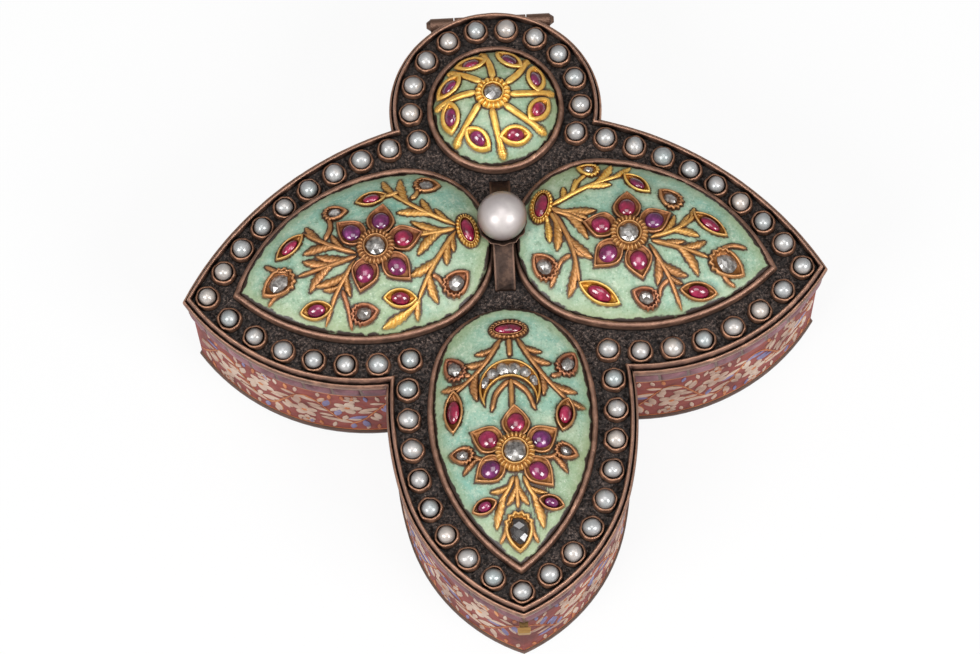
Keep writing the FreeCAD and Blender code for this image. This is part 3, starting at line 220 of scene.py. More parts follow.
def smooth_line(points, step=0.3):
    """A Catmull-Rom curve through some places, sampled about every step."""
    ends = [2 * points[0] - points[1]] + list(points) + [2 * points[-1] - points[-2]]
    line = []
    for a, b, c, d in zip(ends, ends[1:], ends[2:], ends[3:]):
        count = max(2, int(abs(c - b) / step))
        for k in range(count):
            t = k / count
            line.append(0.5 * (2 * b + (c - a) * t + (2 * a - 5 * b + 4 * c - d) * t**2
                               + (3 * b - a - 3 * c + d) * t**3))
    return line + [points[-1]]


def course(line, index, reach=1):
    """Direction of a line at one of its points."""
    return unit(line[min(index + reach, len(line) - 1)] - line[max(index - reach, 0)])


# Meshes

class Builder:
    """Vertices and faces of one piece, with a tint at each vertex, and on a dome two values more."""

    def __init__(self):
        self.points = []
        self.tints = []
        self.faces = []
        self.materials = []
        self.smooth = []
        self.near = []
        self.shade = []

    def add_row(self, row, tint):
        start = len(self.points)
        self.points.extend(row)
        self.tints.extend([tint] * len(row))
        return list(range(start, start + len(row)))

    def add_face(self, face, material=0, smooth=True):
        self.faces.append(face)
        self.materials.append(material)
        self.smooth.append(smooth)

    def grid(self, rows, tint=0.0, material=0, wrap=True, ring=False, caps=True, smooth=True):
        """Skin over rows of points. Rows close on themselves with wrap, and on each other with ring."""
        names = [self.add_row(row, tint) for row in rows]
        pairs = list(zip(names, names[1:]))
        if ring:
            pairs.append((names[-1], names[0]))
        size = len(names[0])
        for lower, upper in pairs:
            for k in range(size if wrap else size - 1):
                after = (k + 1) % size
                self.add_face((lower[k], lower[after], upper[after], upper[k]), material, smooth)
        if caps and not ring:
            self.add_face(tuple(reversed(names[0])), material, smooth)
            self.add_face(tuple(names[-1]), material, smooth)
        return names

    def dome(self, rows, apex, tint=0.0, material=0, smooth=True):
        """Skin over closed rows that ends in one apex, with a flat underside."""
        names = self.grid(rows, tint, material, caps=False, smooth=smooth)
        self.add_face(tuple(reversed(names[0])), material, smooth)
        top = self.add_row([apex], tint)[0]
        last = names[-1]
        for k in range(len(last)):
            self.add_face((last[k], last[(k + 1) % len(last)], top), material, smooth)


def add_piece(name, builder, body, materials, node=None):
    """One object of the scene that rides with a body, and may stand for a CAD node."""
    mesh = bpy.data.meshes.new(name)
    mesh.from_pydata([tuple(c * MM for c in point) for point in builder.points], [], builder.faces)
    for material in materials:
        mesh.materials.append(material)
    mesh.polygons.foreach_set("material_index", builder.materials)
    mesh.polygons.foreach_set("use_smooth", builder.smooth)
    tint = mesh.attributes.new("tint", "FLOAT", "POINT")
    tint.data.foreach_set("value", builder.tints)
    for key, values in (("near", builder.near), ("shade", builder.shade)):
        if values:
            mesh.attributes.new(key, "FLOAT", "POINT").data.foreach_set("value", values)
    shape = bmesh.new()
    shape.from_mesh(mesh)
    bmesh.ops.recalc_face_normals(shape, faces=shape.faces)
    shape.to_mesh(mesh)
    shape.free()
    obj = bpy.data.objects.new(name, mesh)
    bpy.context.scene.collection.objects.link(obj)
    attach(obj, body)
    if node:
        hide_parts(node)


def flat(point, z):
    return (point.real, point.imag, z)


# Petals: the four domes with their bezels

def bend_radius(half_span):
    """Radius of an arc that rises by the dome's rise over half a span."""
    return (half_span**2 + DOME_RISE**2) / (2 * DOME_RISE)


class Petal:
    """Drop-shaped petal: a round end, and two side arcs that meet in the tip."""

    def __init__(self, end_centre, tip, motif_centre, end_radius, side_radius, motif_reach, motif_radius):
        self.centre = end_centre
        self.reach = abs(tip - end_centre)
        self.along = (tip - end_centre) / self.reach
        self.end_radius = end_radius
        self.side_radius = side_radius
        self.motif_centre = motif_centre
        self.motif_along = unit(tip - motif_centre)
        self.motif_reach = motif_reach
        self.motif_radius = motif_radius
        slack = side_radius - end_radius
        self.side_along = (slack**2 - side_radius**2 + self.reach**2) / (2 * self.reach)
        self.side_across = math.sqrt(slack**2 - self.side_along**2)
        half_width = side_radius - self.side_across - BEZEL_WIDTH
        run = (1 - APEX_SHARE) * self.reach - BEZEL_WIDTH
        self.apex_along = APEX_SHARE * self.reach
        self.bend_across = bend_radius(half_width)
        self.bend_along = bend_radius(run)

    def place(self, along_share, across_share):
        """Place of a motif, from shares of the motifs' reach and radius."""
        return self.motif_centre + self.motif_along * complex(
            along_share * self.motif_reach, across_share * self.motif_radius)

    def ring(self, inset):
        """The petal's outline, counter-clockwise from the tip."""
        side = complex(self.side_along, -self.side_across)
        tip = self.side_along + math.sqrt((self.side_radius - inset) ** 2 - self.side_across**2)
        joint = -unit(side) * (self.end_radius - inset)
        first = arc(side, complex(tip, 0), joint, RING_SIDE_POINTS, 1)
        end = arc(0j, joint, joint.conjugate(), RING_END_POINTS, 1)
        last = [point.conjugate() for point in reversed(first)]
        return [self.centre + self.along * point for point in first[:-1] + end[:-1] + last[:-1]]

    def local(self, point):
        """A place as seen from the round end, with the tip on the first axis."""
        return (point - self.centre) / self.along

    def depth(self, point):
        """Distance of a place from the outline, inwards."""
        local = self.local(point)
        if local.real * self.side_across < -self.side_along * abs(local.imag):
            return self.end_radius - abs(local)
        side = complex(self.side_along, -self.side_across)
        return self.side_radius - abs(complex(local.real, abs(local.imag)) - side)

    def apex(self):
        return self.centre + self.along * self.apex_along

    def height(self, point):
        """Height of the dome, with a rounded shoulder along the bezel."""
        local = self.local(point)
        u = local.real - self.apex_along
        v = local.imag
        across = math.sqrt(max(self.bend_across**2 - v**2, 0))
        section = self.bend_along - self.bend_across + across
        z = APEX - self.bend_along + math.sqrt(max(section**2 - u**2, 0))
        fall = 1 - clamp((self.depth(point) - BEZEL_WIDTH) / SHOULDER, 0, 1)
        return z - SHOULDER_DROP * (1 - math.sqrt(1 - fall**2))

    def on(self, point, lift):
        """Point above or below the dome's surface."""
        return flat(point, self.height(point) + lift)

    def inside(self, point, margin):
        """The place itself, or one moved towards the apex to keep a margin from the bezel."""
        for step in range(INSIDE_STEPS):
            lack = margin + BEZEL_WIDTH - self.depth(point)
            if lack <= 0:
                break
            point += unit(self.apex() - point) * lack
        return point


class RoundPetal(Petal):
    """Round petal of the back lobe."""

    def __init__(self, centre, radius):
        self.centre = centre
        self.motif_centre = centre
        self.along = -1j
        self.motif_along = -1j
        self.end_radius = radius
        self.motif_reach = radius
        self.motif_radius = radius
        self.apex_along = 0.0
        self.bend_across = self.bend_along = bend_radius(radius - BEZEL_WIDTH)

    def ring(self, inset):
        count = 2 * RING_SIDE_POINTS + RING_END_POINTS
        radius = self.end_radius - inset
        return [self.centre + cmath.rect(radius, turn) for turn in turns(count)]

    def depth(self, point):
        return self.end_radius - abs(self.local(point))


SIDE_PETAL_END = 15.7 + 6.4j
SIDE_PETAL_TIP = 43.9 + 0j
SIDE_MOTIF_CENTRE = 17.6 + 6.07j
SIDE_PETAL = {"end_radius": 14.4, "side_radius": 31.8, "motif_reach": 27.0, "motif_radius": 15.0}
FRONT_PETAL_END = -17.4j
FRONT_PETAL_TIP = -48.9j
FRONT_PETAL = {"end_radius": 12.8, "side_radius": 32.0, "motif_reach": 31.5, "motif_radius": 12.8}
PETALS = {
    "round": RoundPetal(centre=30.6j, radius=11.25),
    "right": Petal(SIDE_PETAL_END, SIDE_PETAL_TIP, SIDE_MOTIF_CENTRE, **SIDE_PETAL),
    "front": Petal(FRONT_PETAL_END, FRONT_PETAL_TIP, FRONT_PETAL_END, **FRONT_PETAL),
    "left": Petal(mirror(SIDE_PETAL_END), mirror(SIDE_PETAL_TIP), mirror(SIDE_MOTIF_CENTRE), **SIDE_PETAL),
}


# Looks: colours are sRGB triples from 0 to 255, and distances in the shaders are metres

NOISE_RANGE = (0.3, 0.7)
HOLLOW_SAMPLES = 8
MIX_COLOURS = (6, 7)
MIX_RESULT = 2


def colour(red, green, blue):
    """Linear colour of an sRGB triple."""
    values = []
    for part in (red, green, blue):
        share = part / 255
        values.append(share / 12.92 if share <= 0.04045 else ((share + 0.055) / 1.055) ** 2.4)
    return (*values, 1.0)


class Shader:
    """A material with a Principled BSDF, and short ways to add nodes to it."""

    def __init__(self, name):
        self.material = bpy.data.materials.new(name)
        self.material.use_nodes = True
        self.nodes = self.material.node_tree.nodes
        self.links = self.material.node_tree.links
        self.surface = self.nodes["Principled BSDF"]
        self.coordinates = self.node("ShaderNodeTexCoord").outputs["Object"]

    def put(self, socket, value):
        """Give an input a link, a colour or a number."""
        if isinstance(value, bpy.types.NodeSocket):
            self.links.new(value, socket)
        elif isinstance(value, tuple):
            socket.default_value = colour(*value)
        else:
            socket.default_value = value

    def fill(self, node, values):
        for name, value in values.items():
            self.put(node.inputs[name.replace("_", " ")], value)

    def set(self, **values):
        self.fill(self.surface, values)

    def node(self, kind, **values):
        made = self.nodes.new(kind)
        self.fill(made, values)
        return made

    def noise(self, scale, detail=4.0, roughness=0.55, distortion=0.0):
        made = self.node("ShaderNodeTexNoise", Vector=self.coordinates, Scale=scale, Detail=detail,
                         Roughness=roughness, Distortion=distortion)
        return made.outputs["Fac"]

    def cells(self, scale):
        made = self.node("ShaderNodeTexVoronoi", Vector=self.coordinates, Scale=scale)
        return made.outputs["Distance"]

    def ramp(self, factor, *stops):
        made = self.node("ShaderNodeValToRGB", Fac=factor)
        band = made.color_ramp
        while len(band.elements) < len(stops):
            band.elements.new(0.5)
        for element, (position, value) in zip(band.elements, stops):
            element.position = position
            element.color = colour(*value)
        return made.outputs["Color"]

    def level(self, factor, low, high, start=0.0, end=1.0):
        """A number spread from one range to another, and clamped."""
        made = self.node("ShaderNodeMapRange", Value=factor, From_Min=low, From_Max=high, To_Min=start,
                         To_Max=end)
        return made.outputs["Result"]

    def spread(self, factor, start, end):
        """A noise spread over a range of values."""
        return self.level(factor, *NOISE_RANGE, start, end)

    def mix(self, factor, first, second):
        made = self.nodes.new("ShaderNodeMix")
        made.data_type = "RGBA"
        self.put(made.inputs[0], factor)
        for index, value in zip(MIX_COLOURS, (first, second)):
            self.put(made.inputs[index], value)
        return made.outputs[MIX_RESULT]

    def wash(self, body, tone, most, factor, low, high):
        """A body colour with up to so much of a tone as a number goes from low to high."""
        return self.mix(self.level(factor, low, high, 0.0, most), body, tone)

    def shade_and_grime(self, body, tone, reach, low, high):
        """A body colour with another tone in hollows and beside raised work: painted shade from ambient
        occlusion, and grime.
        """
        made = self.node("ShaderNodeAmbientOcclusion", Distance=reach)
        made.samples = HOLLOW_SAMPLES
        return self.mix(self.level(made.outputs["AO"], low, high), tone, body)

    def add(self, first, second):
        made = self.nodes.new("ShaderNodeMath")
        made.operation = "ADD"
        made.use_clamp = True
        self.put(made.inputs[0], first)
        self.put(made.inputs[1], second)
        return made.outputs[0]

    def attribute(self, name):
        made = self.nodes.new("ShaderNodeAttribute")
        made.attribute_name = name
        return made.outputs["Fac"]

    def edges(self):
        """Bright on edges: wear, and a painted highlight."""
        return self.node("ShaderNodeNewGeometry").outputs["Pointiness"]

    def facing(self):
        """0 where the surface faces the eye and 1 where it turns away."""
        return self.node("ShaderNodeLayerWeight", Blend=0.5).outputs["Facing"]

    def bump(self, height, strength, distance):
        made = self.node("ShaderNodeBump", Height=height, Strength=strength, Distance=distance)
        return made.outputs["Normal"]


def tarnished_metal(name, dark, middle, bright, hollow_shade=0.0014, metallic=0.8):
    """Old metal: mottled, with painted shade and grime in its hollows, and wear with a painted highlight on
    its edges.
    """
    shader = Shader(name)
    mottle = shader.noise(520.0, 6.0, 0.62)
    patches = shader.noise(110.0, 3.0)
    body = shader.ramp(mottle, (0.3, dark), (0.52, middle), (0.8, bright))
    body = shader.wash(body, middle, 0.55, patches, 0.35, 0.7)
    # bright edges: wear and a painted highlight
    body = shader.wash(body, bright, 0.8, shader.edges(), 0.51, 0.575)
    # dark tone in the hollows: painted shade and grime
    body = shader.shade_and_grime(body, shader.mix(mottle, dark, (22, 16, 14)), hollow_shade, 0.3, 0.9)
    shader.set(Base_Color=body, Metallic=metallic, Roughness=shader.spread(mottle, 0.36, 0.58),
               Normal=shader.bump(shader.noise(1900.0, 5.0, 0.6), 0.6, 0.00015))
    return shader.material


def jewel_metal():
    """Metal of the vines and settings: tint 0 is brown copper and tint 1 yellow gold."""
    shader = Shader("jewel_metal")
    mottle = shader.noise(900.0, 5.0, 0.6)
    copper = shader.ramp(mottle, (0.3, (58, 30, 21)), (0.5, (124, 66, 44)), (0.75, (188, 118, 80)))
    gold = shader.ramp(mottle, (0.28, (186, 110, 28)), (0.5, (240, 170, 54)), (0.75, (255, 214, 116)))
    tint = shader.attribute("tint")
    # tone of the edges: wear and a painted highlight
    edge_wear_and_highlight = shader.mix(tint, (206, 142, 104), (255, 224, 136))
    # tone of the hollows: painted shade and grime
    hollow_shade = shader.mix(tint, (38, 20, 15), (128, 64, 12))
    body = shader.wash(shader.mix(tint, copper, gold), edge_wear_and_highlight, 0.7, shader.edges(), 0.51, 0.57)
    body = shader.shade_and_grime(body, hollow_shade, 0.0009, 0.35, 0.92)
    shader.set(Base_Color=body, Metallic=0.55, Roughness=shader.spread(mottle, 0.3, 0.48),
               Normal=shader.bump(shader.noise(2400.0, 4.0), 0.5, 0.00012))
    return shader.material


def granular_ground():
    """Dark pitted ground between the jewels with brown and pale grains; the pale grains are partly painted
    glints, and painted shade with grime darkens it beside raised work.
    """
    shader = Shader("granular_ground")
    grain = shader.noise(2300.0, 6.0, 0.8)
    crust = shader.noise(420.0, 4.0, 0.6)
    # pale grains: grain colour and painted glints
    body = shader.ramp(grain, (0.42, (14, 11, 11)), (0.5, (50, 41, 38)), (0.57, (110, 92, 84)),
                       (0.65, (158, 140, 128)))
    body = shader.wash(body, (22, 17, 16), 0.7, crust, 0.5, 0.35)
    # painted shade and grime beside the collets and bezels
    body = shader.shade_and_grime(body, (14, 11, 10), 0.0022, 0.25, 0.9)
    relief = shader.add(grain, shader.cells(1300.0))
    shader.set(Base_Color=body, Metallic=0.25, Roughness=shader.spread(grain, 0.75, 0.45),
               Normal=shader.bump(relief, 1.0, 0.0004))
    return shader.material


def dome_enamel():
    """Mottled turquoise enamel with dark lines beside the gold work and along the bezel, which are painted
    shade with grime.
    """
    shader = Shader("dome_enamel")
    cloud = shader.noise(150.0, 6.0, 0.62, 0.9)
    broad = shader.add(shader.noise(42.0, 2.0), shader.attribute("shade"))
    fine = shader.noise(620.0, 8.0, 0.7)
    grit = shader.noise(2200.0, 5.0, 0.7)
    near = shader.add(shader.attribute("near"), shader.spread(fine, -0.14, 0.14))
    ragged = shader.level(shader.noise(430.0, 3.0), 0.35, 0.65, -0.09, 0.09)
    edge = shader.add(shader.attribute("tint"), ragged)
    body = shader.ramp(cloud, (0.3, (116, 160, 142)), (0.45, (140, 177, 157)), (0.58, (160, 187, 163)),
                       (0.74, (192, 202, 180)))
    for tone, most, factor, low, high in (
            ((154, 172, 132), 0.75, broad, 0.44, 0.62),
            ((120, 178, 164), 0.4, broad, 0.44, 0.32),
            ((196, 206, 184), 0.8, fine, 0.53, 0.72),
            ((100, 132, 108), 0.9, fine, 0.46, 0.28),
            ((210, 216, 198), 0.7, grit, 0.54, 0.68),
            ((86, 96, 72), 0.8, grit, 0.42, 0.3),
            ((116, 126, 88), 0.45, near, 0.9, 0.22),
            # dark line beside the gold work: painted shade and grime
            (shader.mix(fine, (34, 22, 16), (88, 60, 40)), 1.0, near, 0.34, 0.18),
            ((140, 152, 108), 0.6, edge, 0.8, 0.12),
            # dark line along the bezel: painted shade and grime
            ((48, 34, 27), 1.0, edge, 0.12, 0.06)):
        body = shader.wash(body, tone, most, factor, low, high)
    shader.set(Base_Color=body, Roughness=shader.spread(fine, 0.32, 0.55), Coat_Weight=0.15,
               Coat_Roughness=0.3, Normal=shader.bump(fine, 0.45, 0.00025))
    return shader.material


def ruby():
    """Ruby: tint 0 is magenta red and tint 1 purple, with painted shade that darkens it towards its edge."""
    shader = Shader("ruby")
    depth = shader.noise(700.0, 3.0)
    red = shader.ramp(depth, (0.3, (96, 6, 32)), (0.55, (168, 20, 66)), (0.75, (214, 66, 108)))
    purple = shader.ramp(depth, (0.3, (64, 14, 58)), (0.55, (118, 34, 102)), (0.75, (168, 78, 150)))
    body = shader.mix(shader.attribute("tint"), red, purple)
    # painted shade: darker where the surface turns away from the eye
    body = shader.wash(body, (48, 4, 26), 1.0, shader.facing(), 0.15, 0.75)
    shader.set(Base_Color=body, Roughness=shader.spread(depth, 0.1, 0.24), IOR=1.76,
               Transmission_Weight=0.2, Coat_Weight=0.4, Coat_Roughness=0.12)
    return shader.material


def diamond():
    """Old rose-cut diamond over dark foil, with painted reflections as a grey cloud; the tint tells how smoky
    it is.
    """
    shader = Shader("diamond")
    cloud = shader.noise(1100.0, 4.0, 0.6)
    smoke = shader.attribute("tint")
    # grey cloud of dark and pale tones: painted reflections of the facets
    body = shader.ramp(cloud, (0.3, (58, 54, 52)), (0.5, (126, 122, 118)), (0.72, (206, 202, 196)))
    body = shader.wash(body, (96, 84, 74), 0.5, smoke, 0.4, 1.0)
    body = shader.wash(body, (22, 12, 9), 0.93, smoke, 1.2, 1.4)
    shader.set(Base_Color=body, Roughness=shader.spread(cloud, 0.08, 0.24), IOR=2.0, Metallic=0.15,
               Coat_Weight=0.4, Coat_Roughness=0.06)
    return shader.material


def pearl(name, first, second, third, edge, small):
    """Nacre: the tint runs over three shades, with painted shade that greys it towards the edge; small pearls
    are uneven and get painted shade and soil in their hollows.
    """
    shader = Shader(name)
    cloud = shader.noise(420.0, 4.0, 0.6, 0.8)
    shade = shader.add(shader.attribute("tint"), shader.spread(cloud, -0.22, 0.22))
    body = shader.ramp(shade, (0.1, first), (0.5, second), (0.9, third))
    # painted shade: greyer where the surface turns away from the eye
    body = shader.wash(body, edge, 0.9, shader.facing(), 0.12, 0.8)
    if small:
        # painted shade and soil where the pearl meets its collet
        body = shader.shade_and_grime(body, (64, 52, 46), 0.0012, 0.2, 0.8)
        shader.set(Normal=shader.bump(cloud, 0.12, 0.0003))
    rough = (0.24, 0.4) if small else (0.34, 0.46)
    shader.set(Base_Color=body, Roughness=shader.spread(cloud, *rough), Metallic=0.3, Coat_Weight=0.35,
               Coat_Roughness=0.2 if small else 0.34)
    return shader.material


def painted_enamel(name, dark, middle, pale):
    """Opaque enamel with cloudy colour, worn specks, and painted shade with grime beside raised work."""
    shader = Shader(name)
    cloud = shader.noise(160.0, 4.0, 0.6, 0.4)
    fine = shader.noise(1100.0, 6.0, 0.65)
    body = shader.ramp(cloud, (0.28, dark), (0.5, middle), (0.74, pale))
    body = shader.wash(body, pale, 0.5, fine, 0.55, 0.8)
    body = shader.wash(body, dark, 0.6, fine, 0.4, 0.22)
    # painted shade and grime beside raised work
    body = shader.shade_and_grime(body, shader.mix(fine, dark, (40, 26, 24)), 0.0011, 0.2, 0.8)
    shader.set(Base_Color=body, Roughness=shader.spread(fine, 0.5, 0.7), Specular_IOR_Level=0.22,
               Normal=shader.bump(fine, 0.2, 0.00015))
    return shader.material


def spring_steel():
    shader = Shader("spring_steel")
    brushed = shader.noise(900.0, 5.0, 0.6)
    body = shader.ramp(brushed, (0.3, (82, 84, 88)), (0.7, (150, 152, 156)))
    shader.set(Base_Color=body, Metallic=0.95, Roughness=shader.spread(brushed, 0.25, 0.4))
    return shader.material


GILT = tarnished_metal("tarnished_gilt", (48, 35, 31), (116, 85, 74), (206, 160, 134))
COLLET_METAL = tarnished_metal("collet_metal", (44, 32, 28), (98, 72, 62), (196, 146, 116), hollow_shade=0.0007)
GOLD = tarnished_metal("old_gold", (32, 22, 15), (80, 58, 33), (176, 136, 78), metallic=0.5)
WALL_METAL = tarnished_metal("wall_metal", (30, 22, 20), (66, 48, 42), (112, 84, 72), metallic=0.35)
STRAP_METAL = tarnished_metal("strap_metal", (36, 28, 25), (70, 55, 48), (136, 106, 90))
JEWEL_METAL = jewel_metal()
DOME_ENAMEL = dome_enamel()
RUBY = ruby()
DIAMOND = diamond()
# The fourth colour of each pearl is its painted shade at the edge.
PEARL = pearl("pearl", (164, 172, 172), (182, 182, 182), (198, 188, 180), (90, 82, 80), True)
LARGE_PEARL = pearl("large_pearl", (182, 174, 174), (200, 192, 190), (212, 206, 202), (112, 92, 88), False)
MAUVE_ENAMEL = painted_enamel("mauve_enamel", (74, 48, 52), (126, 88, 94), (164, 124, 130))
CREAM = painted_enamel("cream_enamel", (136, 100, 86), (188, 160, 142), (216, 198, 182))
BLUE = painted_enamel("blue_enamel", (84, 74, 104), (124, 116, 152), (166, 160, 188))
ORANGE = painted_enamel("gold_line", (130, 66, 40), (184, 112, 70), (222, 160, 110))
SLOT_MATERIALS = {
    "gilt": GILT,
    "gold": GOLD,
    "wall_metal": WALL_METAL,
    "dark_ground": granular_ground(),
    "red_enamel": painted_enamel("red_enamel", (84, 32, 29), (134, 60, 53), (160, 88, 77)),
    "mauve_enamel": MAUVE_ENAMEL,
    "dome_enamel": DOME_ENAMEL,
    "ruby": RUBY,
    "diamond": DIAMOND,
    "pearl": PEARL,
    "large_pearl": LARGE_PEARL,
    "spring_steel": spring_steel(),
}
# CAD nodes given the darker wall metal; on the skirt and the top band this is painted shade in the gap under
# the lid's rim, and the foot rim is darker too.
DARK_NODES = ("lid_skirt", "base_top_band", "base_foot_rim")


def dress_cad_nodes():
    """Give every CAD node that stays in sight the finish of its slot."""
    for name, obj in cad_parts.items():
        for slot in obj.material_slots:
            key = slot.material.name.split(".")[0] if slot.material else ""
            if name.startswith("hinge"):
                slot.material = STRAP_METAL
            elif name in DARK_NODES:
                slot.material = WALL_METAL
            elif key in SLOT_MATERIALS:
                slot.material = SLOT_MATERIALS[key]


# Rim, bezels and domes of the lid

# Profiles: inset from the outline, and the level or the height above the ground
RIM_PROFILE = ((0.04, 23.55), (0.0, 23.75), (0.0, 24.35), (0.06, 24.66), (0.17, 24.86), (0.31, 24.93),
               (0.43, 24.86), (0.52, 24.62), (0.58, 24.42), (0.64, 24.62), (0.66, 25.25), (0.72, 25.72),
               (0.84, 26.02), (0.99, 26.15), (1.13, 26.1), (1.24, 25.92), (1.31, 25.62), (1.35, 25.2),
               (1.35, 23.6))
RIM_TOP = 26.15
BEZEL_PROFILE = ((0.0, -0.1), (0.0, 1.1), (0.05, 1.45), (0.17, 1.72), (0.36, 1.86), (0.56, 1.9), (0.76, 1.84),
                 (0.93, 1.68), (1.03, 1.45), (1.08, 1.2), (1.15, -0.1))
CRIMP_START = 0.5
CRIMP_RUN = 0.6

# Waves of hand work: size, number to a millimetre and seed
RIM_WAVES = ((0.07, 0.5, 0.0), (0.05, 1.6, 4.0))
CRIMP_WAVES = ((0.16, 0.75, 2.0), (0.1, 1.7, 6.0))
BEZEL_WAVES = ((0.08, 0.6, 9.0),)
DOME_WAVES = ((0.05, 0.3, 0.0),)

DOME_ROWS = 64
DOME_TUCK = 0.15
DOME_SINK = 0.05
EDGE_REACH = 2.5

# Shades of the enamel: place in shares of the petal, radius, and how much greener or, below zero, bluer
SHADE_SHARES = {
    "round": (((0.0, 0.0), 9, 0.08), ((0.75, 0.6), 6, -0.18)),
    "right": (((-0.35, 0.75), 8, 0.18), ((0.75, 0.1), 6, 0.12), ((-0.45, -0.4), 7, -0.1),
              ((0.1, -0.5), 6, -0.06)),
    "front": (((-0.25, -0.5), 7, 0.18), ((0.15, 0.8), 6, -0.15), ((0.55, -0.7), 6, -0.12),
              ((0.9, 0.0), 7, 0.15)),
    "left": (((-0.55, 0.2), 7, 0.14), ((0.2, 0.95), 8, 0.1), ((0.0, -0.8), 5, -0.1), ((0.4, 0.0), 6, -0.08)),
}


def worked(point, waves):
    """Small unevenness of hand work at a place."""
    return sum(size * noise.noise(Vector((point.real * scale, point.imag * scale, seed)))
               for size, scale, seed in waves)


def make_rim():
    builder = Builder()
    rows = []
    for index, (inset, z) in enumerate(RIM_PROFILE):
        waves = RIM_WAVES if 0 < index < len(RIM_PROFILE) - 2 else ()
        rows.append([flat(point, min(z + worked(point, waves), RIM_TOP)) for point in outline(inset)])
    builder.grid(rows, ring=True)
    add_piece("lid_rim_ridges", builder, "lid", [GILT], "lid_rim")


def make_bezel(lobe):
    """Raised band round a dome, its inner edge crimped by hand."""
    petal = PETALS[lobe]
    builder = Builder()
    rows = []
    outer = petal.ring(0.0)
    for index, (inset, z) in enumerate(BEZEL_PROFILE):
        waves = BEZEL_WAVES if 0 < index < len(BEZEL_PROFILE) - 1 else ()
        row = []
        for point, start in zip(petal.ring(min(inset, BEZEL_WIDTH)), outer):
            if inset > CRIMP_START:
                crimp = worked(start, CRIMP_WAVES)
                point += unit(point - start) * crimp * ((inset - CRIMP_START) / CRIMP_RUN)
            row.append(flat(point, GROUND + min(z + worked(start, waves), BEZEL_HEIGHT)))
        rows.append(row)
    builder.grid(rows, ring=True)
    add_piece(f"bezel_{lobe}_band", builder, "lid", [GILT], f"bezel_{lobe}")


def make_dome(lobe, gold_work):
    """Enamel dome, with its distance from the bezel and from the gold work at each vertex."""
    petal = PETALS[lobe]
    builder = Builder()
    edge = petal.ring(BEZEL_WIDTH - DOME_TUCK)
    apex = petal.apex()
    tree = KDTree(len(gold_work))
    for index, (x, y, z) in enumerate(gold_work):
        tree.insert((x, y, 0), index)
    tree.balance()
    rows = [[flat(point, GROUND - DOME_SINK) for point in edge]]
    for k in range(DOME_ROWS):
        points = [apex + (point - apex) * (1 - k / DOME_ROWS) for point in edge]
        rows.append([petal.on(point, worked(point, DOME_WAVES)) for point in points])
    builder.dome(rows, petal.on(apex, 0.0))
    spots = [(petal.place(*place), radius, amount) for place, radius, amount in SHADE_SHARES[lobe]]
    for index, (x, y, z) in enumerate(builder.points):
        point = complex(x, y)
        # Distances from the bezel and from the gold work, which the enamel uses for its lines of painted
        # shade and grime.
        builder.tints[index] = clamp((petal.depth(point) - BEZEL_WIDTH) / EDGE_REACH, 0, 1)
        builder.near.append(tree.find((x, y, 0))[2])
        builder.shade.append(sum(amount * math.exp(-(abs(point - spot) / radius) ** 2)
                                 for spot, radius, amount in spots))
    add_piece(f"dome_{lobe}_enamel", builder, "lid", [DOME_ENAMEL], f"dome_{lobe}")


# Pearls and their collets

# Pearls along each edge, those on its corners included
ROUND_PEARLS = 12
SIDE_UPPER_PEARLS = 10
SIDE_LOWER_PEARLS = 8
FRONT_PEARLS = 10

# Spread of the pearls' sizes and tints
PEARL_SIZE_SHARES = (0.93, 1.04)
PEARL_SQUASH_SHARES = (0.94, 1.03)
PEARL_TINTS = (0.15, 0.4, 0.5, 0.6, 0.85)
PEARL_TINT_SPREAD = (-0.1, 0.1)
PEARL_DENT_SHARE = 0.07
DENT_SCALE = 1.3
DENT_SEED_STEP = (7.3, 3.1)

COLLET_PROFILE = ((0.0, 0.0), (0.03, 0.45), (0.1, 0.82), (0.2, 1.04), (0.32, 1.15), (0.44, 1.15),
                  (0.54, 1.05), (0.62, 0.92), (0.68, 0.85))
COLLET_SIDES = 36
COLLET_WAVE = 0.13
COLLET_WAVE_SCALE = 2
COLLET_SEEDS = (0, 50)
COLLET_GAP = 0.06
COLLET_CORE = 1.2


def border_places():
    """Places of the pearls of each lobe."""
    edges = right_edges(PEARL_INSET)
    places = corners(PEARL_INSET)
    round_line = Path([mirror(point) for point in reversed(edges[0])] + edges[0][1:])
    upper = Path(edges[1]).spread(SIDE_UPPER_PEARLS)[1:-1]
    right = upper + [places[2]] + Path(edges[2]).spread(SIDE_LOWER_PEARLS)[1:-1]
    front = [places[3]] + Path(edges[3] + edges[4][1:]).spread(FRONT_PEARLS)[1:-1]
    return {
        "round": round_line.spread(ROUND_PEARLS),
        "right": right,
        "front": front + [places[5]] + [mirror(point) for point in front],
        "left": [mirror(point) for point in right],
    }


def make_ball(builder, centre, radius, tint, squash=(1, 1), dents=0.0, seed=0, rings=12, sides=24):
    """Ball, dented by hand, with a flat foot where it meets the ground."""
    start = Vector((seed * DENT_SEED_STEP[0], seed * DENT_SEED_STEP[1], 0))
    rows = []
    for k in range(1, rings):
        tilt = math.pi * k / rings
        row = []
        for turn in turns(sides):
            way = Vector((math.sin(tilt) * math.cos(turn), math.sin(tilt) * math.sin(turn), -math.cos(tilt)))
            reach = radius * (1 + dents * noise.noise(way * DENT_SCALE + start))
            row.append((centre[0] + way.x * reach * squash[0], centre[1] + way.y * reach * squash[1],
                        max(centre[2] + way.z * reach, GROUND)))
        rows.append(row)
    builder.dome(rows, (centre[0], centre[1], centre[2] + radius), tint)


